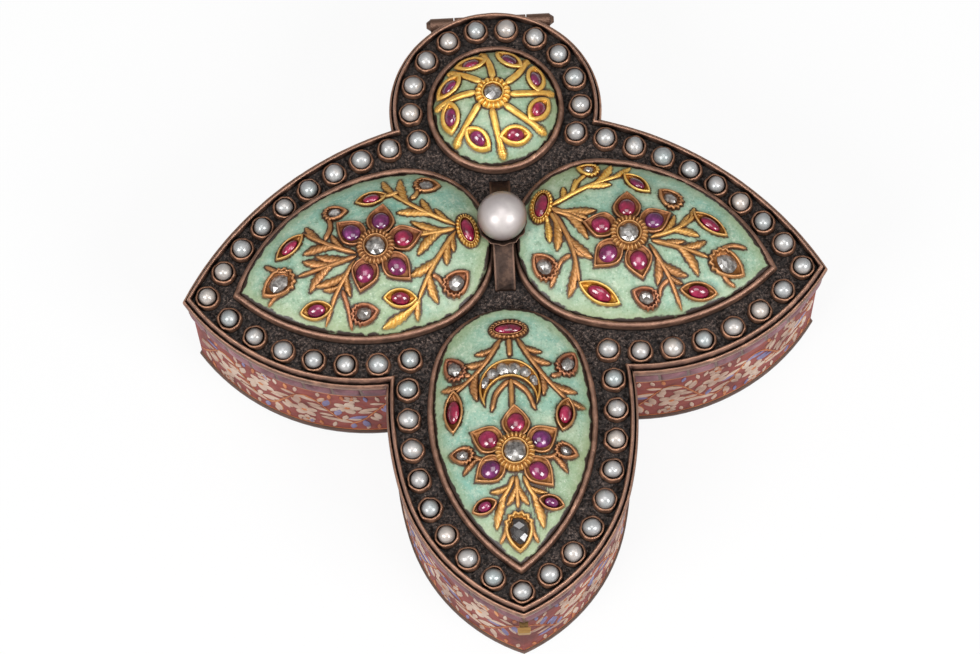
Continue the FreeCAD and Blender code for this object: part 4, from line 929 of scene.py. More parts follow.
def make_collet(builder, petal, place, seed):
    """Wavy collet that hugs a pearl and keeps clear of the bezel."""
    rows = []
    for inset, z in COLLET_PROFILE:
        row = []
        for turn in turns(COLLET_SIDES):
            wave = COLLET_WAVE * noise.noise(flat(cmath.rect(COLLET_WAVE_SCALE, turn), seed))
            point = place + cmath.rect(COLLET_RADIUS - inset + wave, turn)
            lack = COLLET_GAP + petal.depth(point)
            if lack > 0:
                point += unit(place - point) * min(lack, COLLET_RADIUS - inset - COLLET_CORE)
            row.append(flat(point, GROUND + min(z + wave, COLLET_HEIGHT)))
        rows.append(row)
    builder.grid(rows)


def make_pearls(lobe, places):
    """Border pearls of one lobe in their collets."""
    pearls = Builder()
    collets = Builder()
    for index, place in enumerate(places):
        radius = PEARL_RADIUS * dice.uniform(*PEARL_SIZE_SHARES)
        squash = (dice.uniform(*PEARL_SQUASH_SHARES), dice.uniform(*PEARL_SQUASH_SHARES))
        tint = dice.choice(PEARL_TINTS) + dice.uniform(*PEARL_TINT_SPREAD)
        seed = index + len(lobe)
        make_ball(pearls, flat(place, PEARL_CENTRE), radius, tint, squash, PEARL_DENT_SHARE, seed)
        make_collet(collets, PETALS[lobe], place, dice.uniform(*COLLET_SEEDS))
    add_piece(f"border_pearls_{lobe}_nacre", pearls, "lid", [PEARL], f"border_pearls_{lobe}")
    add_piece(f"pearl_collets_{lobe}_cups", collets, "lid", [COLLET_METAL], f"pearl_collets_{lobe}")


# Outlines of settings and gems about the origin

DROP_SIDE_POINTS = 9
DROP_END_POINTS = 60
DROP_FLUTES = 13
DROP_FLUTE_SHARE = 0.07
FLANK_POINTS = 10
FLANK_SLIMMING_SHARE = 0.3
TIP_INSET_SHARE = 1.4
FOOT_POINTS = 14
LEAF_POINTS = 14
LEAST_SQUARE = 0.01


def drop_outline(radius, reach, inset):
    """Drop with a fluted round end about the origin and its tip at +reach."""
    side_radius = (reach**2 + radius**2) / (2 * radius)
    side = complex(0, radius - side_radius)
    tip = math.sqrt(max((side_radius - inset) ** 2 - side.imag**2, LEAST_SQUARE))
    first = arc(side, complex(tip, 0), complex(0, radius - inset), DROP_SIDE_POINTS, 1)
    end = []
    for k in range(DROP_END_POINTS):
        turn = math.pi / 2 + math.pi * k / DROP_END_POINTS
        wave = 1 + DROP_FLUTE_SHARE * math.cos(turn * DROP_FLUTES)
        end.append(cmath.rect((radius - inset) * wave, turn))
    last = [point.conjugate() for point in reversed(first)]
    return first[:-1] + end + last[:-1]


def petal_outline(radius, reach, inner, lean, inset):
    """Flower petal about its gem: a pointed, leaning tip at +reach and a rounded foot at -inner."""
    flank = []
    for k in range(FLANK_POINTS + 1):
        share = 1 - k / FLANK_POINTS
        half = (radius - inset) * (1 - share**2) * (1 - FLANK_SLIMMING_SHARE * share)
        flank.append(complex((reach - TIP_INSET_SHARE * inset) * share, half))
    foot = []
    for k in range(1, FOOT_POINTS):
        turn = math.pi / 2 + math.pi * k / FOOT_POINTS
        foot.append(complex((inner - inset) * math.cos(turn), (radius - inset) * math.sin(turn)))
    ring = flank + foot + [point.conjugate() for point in reversed(flank)][:-1]
    return [point + 1j * lean * max(point.real / reach, 0) ** 2 for point in ring]


def leaf_outline(length, width, inset):
    """Pointed leaf between two arcs."""
    radius = (length**2 + width**2) / (4 * width)
    centre = complex(0, width / 2 - radius)
    half = math.sqrt(max((radius - inset) ** 2 - centre.imag**2, LEAST_SQUARE))
    upper = arc(centre, complex(half, 0), complex(-half, 0), LEAF_POINTS, 1)
    return upper[:-1] + [point.conjugate() for point in reversed(upper)][:-1]


def oval_outline(half_long, half_wide, count):
    return [complex(half_long * math.cos(turn), half_wide * math.sin(turn)) for turn in turns(count)]


# Collets and gems on the domes

# Collets: inset from the outline, lift above the dome, and how deep the flutes cut into a fluted one
DISH_PROFILE = ((0.0, -0.4), (0.0, 0.42), (0.06, 0.64), (0.17, 0.78), (0.29, 0.72), (0.39, 0.46),
                (0.44, 0.16))
BROAD_PROFILE = ((0.0, -0.4), (0.0, 0.36), (0.08, 0.56), (0.24, 0.68), (0.48, 0.7), (0.64, 0.6), (0.72, 0.3))
PETAL_PROFILE = ((0.0, -0.4), (0.0, 0.42), (0.06, 0.66), (0.17, 0.82), (0.3, 0.78), (0.4, 0.56), (0.56, 0.42),
                 (0.9, 0.38))
BUD_PROFILE = ((0.0, -0.4), (0.0, 0.4), (0.08, 0.62), (0.22, 0.78), (0.38, 0.8), (0.5, 0.68), (0.6, 0.42),
               (0.66, 0.25))
FLUTED_PROFILE = ((0.0, -0.4, 0), (0.0, 0.2, 1), (0.08, 0.46, 1), (0.28, 0.7, 1), (0.55, 0.84, 1),
                  (0.82, 0.82, 1), (1.0, 0.62, 0.4), (1.08, 0.6, 0), (1.14, 0.76, 0), (1.25, 0.84, 0),
                  (1.36, 0.72, 0), (1.42, 0.3, 0))
POINTS_PER_FLUTE = 6
FLUTE_DROP_SHARE = 0.4
FLUTE_DEPTH_SHARE = 0.05
CABOCHON_ROWS = 7
CABOCHON_SIDES = 24
GIRDLE_RISE_SHARE = 0.14
CROWN_SHARE = 0.6
CROWN_RISE_SHARE = 0.78
GEM_ROOT = 0.5
FACET_SHARES = (0.9, 1.05)
FACET_LIFTS = (-0.03, 0.03)


def make_dish(builder, petal, place, direction, shape, tint, profile=DISH_PROFILE):
    """Raised collet that follows an outline, on the dome."""
    builder.grid([[petal.on(place + direction * point, lift) for point in shape(inset)]
                  for inset, lift in profile], tint)


def make_fluted_collet(builder, petal, place, direction, long, wide, scale, flutes, tint, stand=0.0):
    """Round or oval collet with a fluted outside and a plain inner rim."""
    rows = []
    count = POINTS_PER_FLUTE * flutes
    for inset, lift, cut in FLUTED_PROFILE:
        row = []
        for k, point in enumerate(oval_outline(long / 2 - inset * scale, wide / 2 - inset * scale, count)):
            groove = cut * (0.5 - 0.5 * math.cos(2 * math.pi * k / count * flutes))
            level = stand + lift * (1 - FLUTE_DROP_SHARE * groove) if lift > 0 else lift
            row.append(petal.on(place + direction * point * (1 - FLUTE_DEPTH_SHARE * groove), level))
        rows.append(row)
    builder.grid(rows, tint)


def make_cabochon(builder, petal, place, direction, half_long, half_wide, tint, lift, rise):
    """Smooth rounded gem."""
    rows = []
    for k in range(CABOCHON_ROWS):
        tilt = math.pi / 2 * k / CABOCHON_ROWS
        ring = oval_outline(half_long * math.cos(tilt), half_wide * math.cos(tilt), CABOCHON_SIDES)
        rows.append([petal.on(place + direction * point, lift + rise * math.sin(tilt)) for point in ring])
    builder.dome(rows, petal.on(place, lift + rise), tint)


def make_rose_cut(builder, petal, place, direction, half_long, half_wide, lift, rise, sides=6, tint=0.5):
    """Rose-cut diamond: flat facets in two rows, a little uneven."""
    def ring(share, count, level):
        points = [point * (share * dice.uniform(*FACET_SHARES))
                  for point in oval_outline(half_long, half_wide, count)]
        return [petal.on(place + direction * point, level + dice.uniform(*FACET_LIFTS)) for point in points]

    girdle_points = ring(1.0, 2 * sides, lift + GIRDLE_RISE_SHARE * rise)
    low = builder.add_row([(x, y, z - GEM_ROOT) for x, y, z in girdle_points], tint)
    girdle = builder.add_row(girdle_points, tint)
    crown = builder.add_row(ring(CROWN_SHARE, sides, lift + CROWN_RISE_SHARE * rise), tint)
    top = builder.add_row([petal.on(place, lift + rise)], tint)[0]
    faces = [tuple(reversed(low))]
    for k in range(2 * sides):
        after = (k + 1) % (2 * sides)
        faces.append((low[k], low[after], girdle[after], girdle[k]))
    for k in range(sides):
        after = (k + 1) % sides
        left, middle, right = girdle[2 * k], girdle[2 * k + 1], girdle[(2 * k + 2) % (2 * sides)]
        faces += [(left, middle, crown[k]), (middle, crown[after], crown[k]), (middle, right, crown[after]),
                  (crown[k], crown[after], top)]
    for face in faces:
        builder.add_face(face, smooth=False)


# Stems and leaves on the domes

WORK_MARGIN = 0.05
STEM_TURNS = (-104, -75, -45, -15, 15, 45, 75, 104)
STEM_HEIGHT = 0.5
STEM_LIFT = 0.06
STEM_ROOT = -0.2
STEM_TIP_SHARE = 0.35
STEM_TAPER = 6

# Section of a leaf: share of its half width, share of its height, and 1 where the veins lie
BLADE_SECTION_SHARES = ((-1.0, -0.25, 0), (-1.0, 0.14, 0), (-0.5, 0.62, 1), (0.0, 1.0, 0), (0.5, 0.62, 1),
                        (1.0, 0.14, 0), (1.0, -0.25, 0))
BLADE_STEPS = 18
BLADE_HEIGHT = 0.5
BLADE_ROOT = -0.25
BLADE_START_HALF = 0.2
BLADE_TIP_HALF = 0.1
BLADE_TIP_POWER = 2.4
BLADE_WIDEST_SHARE = 0.66
LEAST_RISE_SHARE = 0.7
RISE_GAIN_SHARE = 0.5
NOTCH_DEPTH_SHARE = 0.12
NOTCH_START_SHARE = 0.3
NOTCH_END_SHARE = 0.95
VEIN_LIFTS = (-0.07, 0.09)
VEIN_START_SHARE = 0.25
BLADE_CONTROL_SHARE = 0.38
BLADE_COURSE_REACH = 2
BLADE_TIP_MARGIN = 0.25
BLADE_WIDTH_SHARE = 0.28
BLADE_WIDTHS = (0.95, 1.4)


def make_stem(builder, petal, line, start_half, end_half, tint):
    """Half-round gold wire on the dome, tapered from start to end."""
    rows = []
    for k, point in enumerate(line):
        across = course(line, k) * 1j
        share = k / (len(line) - 1)
        half = start_half + (end_half - start_half) * share
        half *= min(1.0, STEM_TIP_SHARE + STEM_TAPER * share, STEM_TIP_SHARE + STEM_TAPER * (1 - share))
        rise = STEM_HEIGHT * half / max(start_half, end_half)
        row = []
        for angle in map(math.radians, STEM_TURNS):
            place = petal.inside(point + across * half * math.sin(angle), WORK_MARGIN)
            level = rise * math.cos(angle) + STEM_LIFT if abs(angle) < math.pi / 2 else STEM_ROOT
            row.append(petal.on(place, level))
        rows.append(row)
    builder.grid(rows, tint)


def make_blade(builder, petal, root, control, tip, width, tint):
    """Slender leaf with a midrib and notched edges that leaves its stem in a curve."""
    rows = []
    for k in range(BLADE_STEPS + 1):
        t = k / BLADE_STEPS
        middle = root * (1 - t) ** 2 + control * 2 * t * (1 - t) + tip * t**2
        way = (control - root) * (1 - t) + (tip - control) * t
        across = unit(way) * 1j
        if t < BLADE_WIDEST_SHARE:
            swell = math.sin(math.pi / 2 * t / BLADE_WIDEST_SHARE)
            half = BLADE_START_HALF + (width / 2 - BLADE_START_HALF) * swell
        else:
            swell = 1 - ((t - BLADE_WIDEST_SHARE) / (1 - BLADE_WIDEST_SHARE)) ** BLADE_TIP_POWER
            half = BLADE_TIP_HALF + (width / 2 - BLADE_TIP_HALF) * swell
        notch = NOTCH_DEPTH_SHARE * (k % 3 - 1) if NOTCH_START_SHARE < t < NOTCH_END_SHARE else 0.0
        vein = VEIN_LIFTS[k % 2] if t > VEIN_START_SHARE else 0.0
        rise = BLADE_HEIGHT * min(1.0, LEAST_RISE_SHARE + RISE_GAIN_SHARE * half / width)
        row = []
        for side, lift, veined in BLADE_SECTION_SHARES:
            place = petal.inside(middle + across * half * (1 + notch) * side, WORK_MARGIN)
            row.append(petal.on(place, BLADE_ROOT if lift < 0 else rise * lift + vein * veined))
        rows.append(row)
    builder.grid(rows, tint)


def grow_blade(builder, petal, line, share, turn, length, tint):
    """Leaf from a place on a stem, along the stem at first and then out to its tip."""
    index = round(share * (len(line) - 1))
    ahead = course(line, index, BLADE_COURSE_REACH)
    root = line[index]
    tip = petal.inside(root + ahead * cmath.rect(length, math.radians(turn)), BLADE_TIP_MARGIN)
    control = root + ahead * length * BLADE_CONTROL_SHARE
    width = clamp(BLADE_WIDTH_SHARE * length, *BLADE_WIDTHS)
    make_blade(builder, petal, root, control, tip, width, tint)


# The plants of the three pointed petals. Places are shares along and across the petal.
# flower: place, turn of the first petal, radius of the collet, radius of the gem, tint
# petals: tint of each gem, counter-clockwise
# buds: place, turn of the tip, radius, size of the gem, tint, and from 0 to 2 how smoky the gem is
# leaves: two ends, width, tint of the setting, tint of the gem
# oval: place, width, length, tint
# stems: tint, start, end, bend, then share along the stem, turn and length of each leaf on it

PLANT_SHARES = {
    "right": {
        "flower": ((0.1, 0.0), 42, 3.1, 1.6, 0.3),
        "petals": (1.0, 0.1, 0.2, 0.7, 0.25),
        "buds": (((-0.2, 0.75), 175, 1.4, 0.75, 1.0, 0.0), ((0.32, 0.5), 145, 1.7, 0.95, 0.15, 0.8),
                 ((0.68, -0.1), -22, 2.3, 1.4, 0.2, 0.5), ((0.28, -0.65), 165, 1.7, 0.95, 0.0, 1.0),
                 ((-0.35, -0.5), 140, 1.9, 1.1, 0.05, 0.6)),
        "leaves": (((0.0, 0.75), (0.18, 0.55), 2.7, 0.95, 0.5), ((0.45, 0.4), (0.68, 0.2), 2.8, 0.45, 0.15),
                   ((0.45, -0.5), (0.68, -0.45), 3.0, 0.2, 0.1),
                   ((-0.15, -0.6), (0.12, -0.75), 3.0, 0.9, 0.05)),
        "oval": ((-0.45, 0.2), 3.8, 6.3, 1.0),
        "stems": (
            (1.0, (-0.40, 0.20), (0.0, 0.75), 0.03,
             ((0.17, 50, 2.5), (0.28, 40, 3.5), (0.48, -20, 4.5), (0.62, 30, 5), (0.85, 15, 4))),
            (1.0, (-0.28, 0.40), (-0.22, 0.68), 0.1, ()),
            (0.35, (-0.40, 0.18), (-0.18, 0.21), -0.08, ((0.35, 12, 5.5), (0.45, -15, 4))),
            (0.3, (-0.38, 0.16), (-0.17, 0.06), 0.03, ((0.35, -28, 6),)),
            (0.4, (-0.39, 0.13), (-0.30, -0.09), 0.03, ((0.35, -25, 5.5),)),
            (1.0, (-0.41, 0.09), (-0.39, 0.0), 0.0, ((0.4, -5, 4),)),
            (0.25, (-0.37, 0.14), (-0.14, -0.60), 0.06,
             ((0.35, 20, 6), (0.5, 25, 3), (0.68, -22, 6))),
            (0.15, (-0.22, -0.32), (-0.29, -0.52), -0.15, ((0.6, 12, 4),)),
            (0.55, (0.23, 0.0), (0.48, 0.38), -0.08,
             ((0.15, 35, 4.5), (0.4, -32, 4.5), (0.5, 22, 3.5), (0.75, 25, 3))),
            (0.3, (0.24, -0.03), (0.59, -0.09), 0.02, ((0.15, 16, 4), (0.4, -38, 6), (0.45, 30, 4.5))),
            (0.2, (0.23, -0.08), (0.50, -0.72), 0.03, ((0.15, -28, 5), (0.28, 30, 5), (0.5, 28, 3))),
            (0.1, (0.38, -0.41), (0.34, -0.63), -0.15, ()),
            (0.15, (0.65, 0.03), (0.80, 0.12), 0.12, ()),
            (0.15, (0.69, -0.24), (0.79, -0.34), -0.1, ()),
        ),
    },
    "left": {
        "flower": ((0.11, 0.0), 54, 3.1, 1.6, 0.2),
        "petals": (0.5, 0.7, 0.1, 0.9, 1.0),
        "buds": (((-0.28, -0.62), 160, 1.6, 0.95, 0.15, 0.0), ((-0.28, 0.6), -150, 1.9, 1.1, 0.05, 0.4),
                 ((0.3, 0.65), 178, 1.7, 0.95, 0.0, 0.9), ((0.3, -0.55), 172, 1.45, 0.85, 0.1, 0.2),
                 ((0.7, 0.05), 20, 2.2, 1.35, 0.15, 0.6)),
        "leaves": (((-0.05, -0.6), (0.15, -0.6), 2.7, 0.5, 0.15),
                   ((-0.05, 0.65), (0.15, 0.55), 3.0, 0.9, 0.1),
                   ((0.45, 0.5), (0.65, 0.45), 3.0, 0.55, 0.4), ((0.5, -0.4), (0.7, -0.2), 2.7, 0.4, 0.1)),
        "oval": ((-0.45, 0.05), 3.7, 6.0, 0.75),
        "stems": (
            (0.55, (-0.39, -0.04), (-0.06, -0.63), 0.04,
             ((0.08, -20, 3.5), (0.28, -30, 4), (0.3, 20, 6), (0.66, -38, 5.5), (0.88, -20, 4))),
            (0.4, (-0.18, -0.47), (-0.24, -0.58), -0.1, ()),
            (0.5, (-0.12, -0.6), (0.0, -0.6), 0.05, ()),
            (0.5, (-0.38, 0.0), (-0.13, -0.02), 0.02, ((0.2, -28, 6), (0.28, 30, 6), (0.45, -14, 3))),
            (0.45, (-0.38, 0.03), (-0.04, 0.68), -0.03,
             ((0.05, 32, 3), (0.12, 24, 4.5), (0.38, -24, 6), (0.58, 38, 5), (0.93, 18, 3.5))),
            (0.85, (-0.06, 0.66), (0.06, 0.76), 0.05, ((0.4, -10, 6),)),
            (0.1, (-0.17, 0.44), (-0.22, 0.58), 0.1, ()),
            (0.2, (0.23, 0.01), (0.50, -0.41), 0.04, ((0.15, -28, 4), (0.33, 30, 5.5), (0.62, -18, 4))),
            (0.15, (0.39, -0.24), (0.33, -0.56), -0.15, ()),
            (0.2, (0.23, 0.04), (0.60, 0.06), 0.01, ((0.14, -25, 5.5), (0.33, -24, 5.5), (0.36, 30, 6))),
            (0.25, (0.25, 0.08), (0.55, 0.70), -0.03, ((0.15, -36, 6), (0.2, 36, 4), (0.38, -45, 3))),
            (0.05, (0.37, 0.35), (0.39, 0.80), 0.06, ()),
            (0.15, (0.63, -0.02), (0.77, -0.18), 0.1, ()),
            (0.15, (0.69, 0.17), (0.82, 0.26), -0.1, ()),
        ),
    },
    "front": {
        "flower": ((0.41, 0.0), 48, 3.2, 1.8, 0.45),
        "petals": (0.55, 1.0, 0.15, 0.2, 0.95),
        "buds": (((-0.05, -0.68), -150, 1.7, 1.0, 0.0, 0.4), ((-0.05, 0.7), 150, 1.7, 1.0, 0.0, 0.3),
                 ((0.4, -0.62), -100, 1.45, 0.8, 0.1, 0.0), ((0.4, 0.6), 75, 1.4, 0.75, 0.1, 0.6),
                 ((0.78, 0.0), 0, 2.3, 1.7, 0.5, 2.0)),
        "leaves": (((0.05, -0.72), (0.28, -0.75), 3.1, 0.2, 0.05), ((0.12, 0.7), (0.3, 0.6), 3.1, 0.2, 0.05),
                   ((0.65, -0.25), (0.7, -0.58), 2.6, 0.15, 0.45),
                   ((0.65, 0.25), (0.68, 0.58), 2.5, 0.15, 0.9)),
        "oval": ((-0.25, 0.0), 3.5, 6.2, 0.15),
        "stems": (
            (0.2, (-0.20, -0.10), (0.07, -0.71), 0.07,
             ((0.12, -40, 3.5), (0.33, -45, 4), (0.55, 40, 5), (0.8, -30, 4))),
            (0.2, (-0.20, 0.10), (0.15, 0.72), -0.05,
             ((0.08, 38, 3.5), (0.22, 36, 4), (0.45, -26, 4.5), (0.65, 30, 4.5), (0.9, 22, 3.5))),
            (0.1, (-0.01, -0.49), (-0.05, -0.64), 0.1, ()),
            (0.1, (0.01, 0.50), (-0.03, 0.67), -0.1, ()),
            (0.25, (-0.20, 0.0), (-0.10, 0.0), 0.0, ()),
            (0.4, (0.53, 0.0), (0.69, 0.0), 0.0, ((0.2, -26, 4), (0.2, 26, 4))),
            (0.45, (0.53, -0.03), (0.66, -0.23), 0.05, ((0.28, -45, 3.5), (0.55, 16, 6))),
            (0.45, (0.53, 0.09), (0.66, 0.26), -0.05, ((0.25, 42, 3.5), (0.55, -14, 6))),
            (0.15, (0.44, -0.25), (0.41, -0.53), 0.1, ((0.55, 55, 3.5),)),
            (0.15, (0.44, 0.30), (0.41, 0.55), -0.1, ((0.5, -60, 3.5),)),
            (0.3, (0.75, -0.13), (0.86, -0.24), 0.05, ()),
            (0.3, (0.75, 0.14), (0.86, 0.23), -0.05, ()),
            (0.3, (0.02, 0.0), (0.20, -0.01), 0.0, ()),
            (0.2, (0.03, -0.02), (0.19, -0.26), -0.12, ()),
            (0.2, (0.03, 0.0), (0.19, 0.28), 0.12, ()),
        ),
    },
}

# Sizes of the plants
FLOWER_TURN = 64
FLOWER_TURN_SPREAD = (-3, 3)
FLOWER_GEM = 4.75
FLOWER_TIP = 7.9
FLOWER_TIP_SPREAD = (-0.2, 0.2)
FLOWER_LEAN_SPREAD = (-0.6, 0.6)
FLOWER_HALF_WIDTH = 2.3
FLOWER_OVERLAP = 1.0
FLOWER_TINT_SHARE = 0.4
FLOWER_STAND = 0.45
FLOWER_FLUTES = 26
FLOWER_FLUTE_SCALE = 0.95
FLOWER_GEM_HALVES = (1.68, 1.52)
BUD_REACH_SHARE = 1.75
BUD_GEM_SHIFT_SHARE = 0.15
BUD_GEM_LENGTH_SHARE = 1.25
LEAF_GEM_SHARES = (0.27, 0.34)
OVAL_FLUTES = 24
OVAL_FLUTE_SCALE = 0.6
OVAL_GEM_TINT = 0.12
OVAL_RIMS = (0.9, 0.8)
STEM_HALVES = (0.42, 0.32)
SETTING_MARGIN = 0.4
BUD_MARGIN = 0.1

# Lift and rise of the gems above the dome
FLOWER_RUBY_LEVELS = (0.1, 0.95)
FLOWER_DIAMOND_LEVELS = (FLOWER_STAND + 0.3, 0.6)
BUD_LEVELS = (0.2, 0.7)
LEAF_LEVELS = (0.1, 0.85)
OVAL_LEVELS = (0.3, 0.8)
CRESCENT_LEVELS = (0.15, 0.65)
PINWHEEL_LEVELS = (0.4, 0.55)


def heading(degrees):
    """Direction in plan."""
    return cmath.rect(1, math.radians(degrees))


class Dressing:
    """The gold work and gems on one dome."""

    def __init__(self, lobe):
        self.lobe = lobe
        self.petal = PETALS[lobe]
        self.vine = Builder()
        self.settings = Builder()
        self.rubies = Builder()
        self.diamonds = Builder()

    def flower(self, centre, first_turn, radius, gem, tint, gem_tints):
        """Five pointed petals, each with a ruby, about a fluted collet with a diamond."""
        inner = FLOWER_GEM - radius + FLOWER_OVERLAP
        for k, gem_tint in enumerate(gem_tints):
            way = self.petal.along * heading(first_turn + FLOWER_TURN * k + dice.uniform(*FLOWER_TURN_SPREAD))
            place = centre + way * FLOWER_GEM
            tip = FLOWER_TIP - FLOWER_GEM + dice.uniform(*FLOWER_TIP_SPREAD)
            shape = partial(petal_outline, FLOWER_HALF_WIDTH, tip, inner, dice.uniform(*FLOWER_LEAN_SPREAD))
            make_dish(self.settings, self.petal, place, way, shape, FLOWER_TINT_SHARE * tint, PETAL_PROFILE)
            make_cabochon(self.rubies, self.petal, place, way, *FLOWER_GEM_HALVES, gem_tint,
                          *FLOWER_RUBY_LEVELS)
        make_fluted_collet(self.settings, self.petal, centre, 1, 2 * radius, 2 * radius, FLOWER_FLUTE_SCALE,
                           FLOWER_FLUTES, tint, FLOWER_STAND)
        make_rose_cut(self.diamonds, self.petal, centre, 1, gem, gem, *FLOWER_DIAMOND_LEVELS)

    def bud(self, place, turn, radius, gem, tint, smoke):
        """Drop-shaped setting with a fluted end and a diamond."""
        place = self.petal.inside(place, radius + BUD_MARGIN)
        way = self.petal.along * heading(turn)
        reach = BUD_REACH_SHARE * radius
        make_dish(self.settings, self.petal, place, way, partial(drop_outline, radius, reach), tint,
                  BUD_PROFILE)
        make_rose_cut(self.diamonds, self.petal, place + way * BUD_GEM_SHIFT_SHARE * reach, way,
                      gem * BUD_GEM_LENGTH_SHARE, gem, *BUD_LEVELS, tint=smoke)

    def leaf(self, start, end, width, tint, gem_tint, profile=DISH_PROFILE):
        """Leaf-shaped setting with a ruby."""
        start = self.petal.inside(start, SETTING_MARGIN)
        end = self.petal.inside(end, SETTING_MARGIN)
        length = abs(end - start)
        way = unit(end - start)
        middle = (start + end) / 2
        make_dish(self.settings, self.petal, middle, way, partial(leaf_outline, length, width), tint, profile)
        long_share, wide_share = LEAF_GEM_SHARES
        make_cabochon(self.rubies, self.petal, middle, way, length * long_share, width * wide_share, gem_tint,
                      *LEAF_LEVELS)

    def oval(self, place, wide, long, tint):
        """Oval fluted collet with a ruby, across the petal."""
        place = self.petal.inside(place, wide / 2 + WORK_MARGIN)
        way = self.petal.along * 1j
        make_fluted_collet(self.settings, self.petal, place, way, long, wide, OVAL_FLUTE_SCALE,
                           OVAL_FLUTES, tint)
        make_cabochon(self.rubies, self.petal, place, way, long / 2 - OVAL_RIMS[0], wide / 2 - OVAL_RIMS[1],
                      OVAL_GEM_TINT, *OVAL_LEVELS)

    def stem(self, tint, start, end, bend, leaves, halves=STEM_HALVES):
        """Bent stem between two places, with leaves along it."""
        middle = (start + end) / 2 + (end - start) * 1j * bend
        line = smooth_line([self.petal.inside(point, SETTING_MARGIN) for point in (start, middle, end)])
        make_stem(self.vine, self.petal, line, *halves, tint)
        for share, turn, length in leaves:
            grow_blade(self.vine, self.petal, line, share, turn, length, tint)
        return line

    def finish(self):
        for kind, part, builder, slot, material in (
                ("vine", "leaves", self.vine, "gold", JEWEL_METAL),
                ("settings", "collets", self.settings, "gold", JEWEL_METAL),
                ("rubies", "gems", self.rubies, "ruby", RUBY),
                ("diamonds", "gems", self.diamonds, "diamond", DIAMOND)):
            add_piece(f"{kind}_{self.lobe}_{part}", builder, "lid", [material], f"{kind}_{self.lobe}")
        make_dome(self.lobe, self.vine.points + self.settings.points)


def dress_petal(lobe):
    """The plant on one pointed petal."""
    petal = PETALS[lobe]
    plant = PLANT_SHARES[lobe]
    work = Dressing(lobe)
    place, *sizes = plant["flower"]
    work.flower(petal.place(*place), *sizes, plant["petals"])
    for place, *sizes in plant["buds"]:
        work.bud(petal.place(*place), *sizes)
    for start, end, *sizes in plant["leaves"]:
        work.leaf(petal.place(*start), petal.place(*end), *sizes)
    place, *sizes = plant["oval"]
    work.oval(petal.place(*place), *sizes)
    for tint, start, end, bend, leaves in plant["stems"]:
        work.stem(tint, petal.place(*start), petal.place(*end), bend, leaves)
    if lobe == "front":
        dress_crescent(work)
    work.finish()


CRESCENT_CENTRE_SHARES = (0.075, -0.02)
CRESCENT_SHIFT = 2.2
CRESCENT_OUTER = 4.9
CRESCENT_INNER = 4.1
CRESCENT_POINTS = 60
CRESCENT_TINT = 0.6
CRESCENT_TURNS = (-72, -43, -14, 15, 44, 72)
CRESCENT_GEM_LEAST = 0.75
CRESCENT_GEM_GAIN = 0.4
CRESCENT_GEM_HALF = 1.0
CRESCENT_SMOKE = 0.2


def dress_crescent(work):
    """Crescent of rose-cut stones on the front petal."""
    petal = work.petal
    outer = petal.place(*CRESCENT_CENTRE_SHARES)
    inner = outer + petal.along * CRESCENT_SHIFT
    near = outer + petal.along * complex(CRESCENT_SHIFT, CRESCENT_OUTER)
    horn = crossing(outer, CRESCENT_OUTER, inner, CRESCENT_INNER, near)

    def shape(inset):
        start = crossing(outer, CRESCENT_OUTER - inset, inner, CRESCENT_INNER + inset, horn) - outer
        end = mirror(start)
        back = arc(0j, start, end, CRESCENT_POINTS, 1)
        front = arc(inner - outer, end, start, CRESCENT_POINTS, -1)
        return back[:-1] + front[:-1]

    make_dish(work.settings, petal, outer, 1, shape, CRESCENT_TINT)
    for turn in CRESCENT_TURNS:
        way = -petal.along * heading(turn)
        bow = math.cos(math.radians(turn))
        reach = CRESCENT_OUTER - 0.5 * (CRESCENT_OUTER - CRESCENT_INNER + CRESCENT_SHIFT * bow)
        size = CRESCENT_GEM_LEAST + CRESCENT_GEM_GAIN * bow**2
        make_rose_cut(work.diamonds, petal, outer + way * reach, way, size, CRESCENT_GEM_HALF,
                      *CRESCENT_LEVELS, tint=CRESCENT_SMOKE)


PINWHEEL_CENTRE_SHARES = (-0.08, -0.03)
PINWHEEL_ARMS = 8
PINWHEEL_TURN = 7
PINWHEEL_TURN_SPREAD = (-3, 3)
PINWHEEL_COLLET = 5.9
PINWHEEL_FLUTES = 20
PINWHEEL_FLUTE_SCALE = 1.0
PINWHEEL_TINT = 1.0
PINWHEEL_GEM_HALF = 1.5
PINWHEEL_GEM_SIDES = 4
PINWHEEL_GEM_TURN = cmath.rect(1, 0.6)
PINWHEEL_SMOKE = 0.2
ARM_START = 2.6
ARM_START_TURN = 14
ARM_END = 9.8
ARM_BEND_SHARES = (-0.1, 0.02)
ARM_HALVES = (0.58, 0.5)
ARM_LEAF_TURN = cmath.rect(1, 0.15)
ARM_LEAF_WIDTH = 1.4
ARM_LEAF_MARGIN = 0.2
ARM_LEAF_START = 2.0
ARM_LEAF_CONTROL = 0.6
ARM_LEAF_END = 0.8
LEAF_ROOT_SHARE = 0.66
LEAF_SWING = 35
LEAF_TIP = 9.2
LEAF_TIP_MARGIN = 0.5
LEAF_WIDTH = 3.2
LEAF_GEM_TINTS = (0.1, 0.45, 0.6)


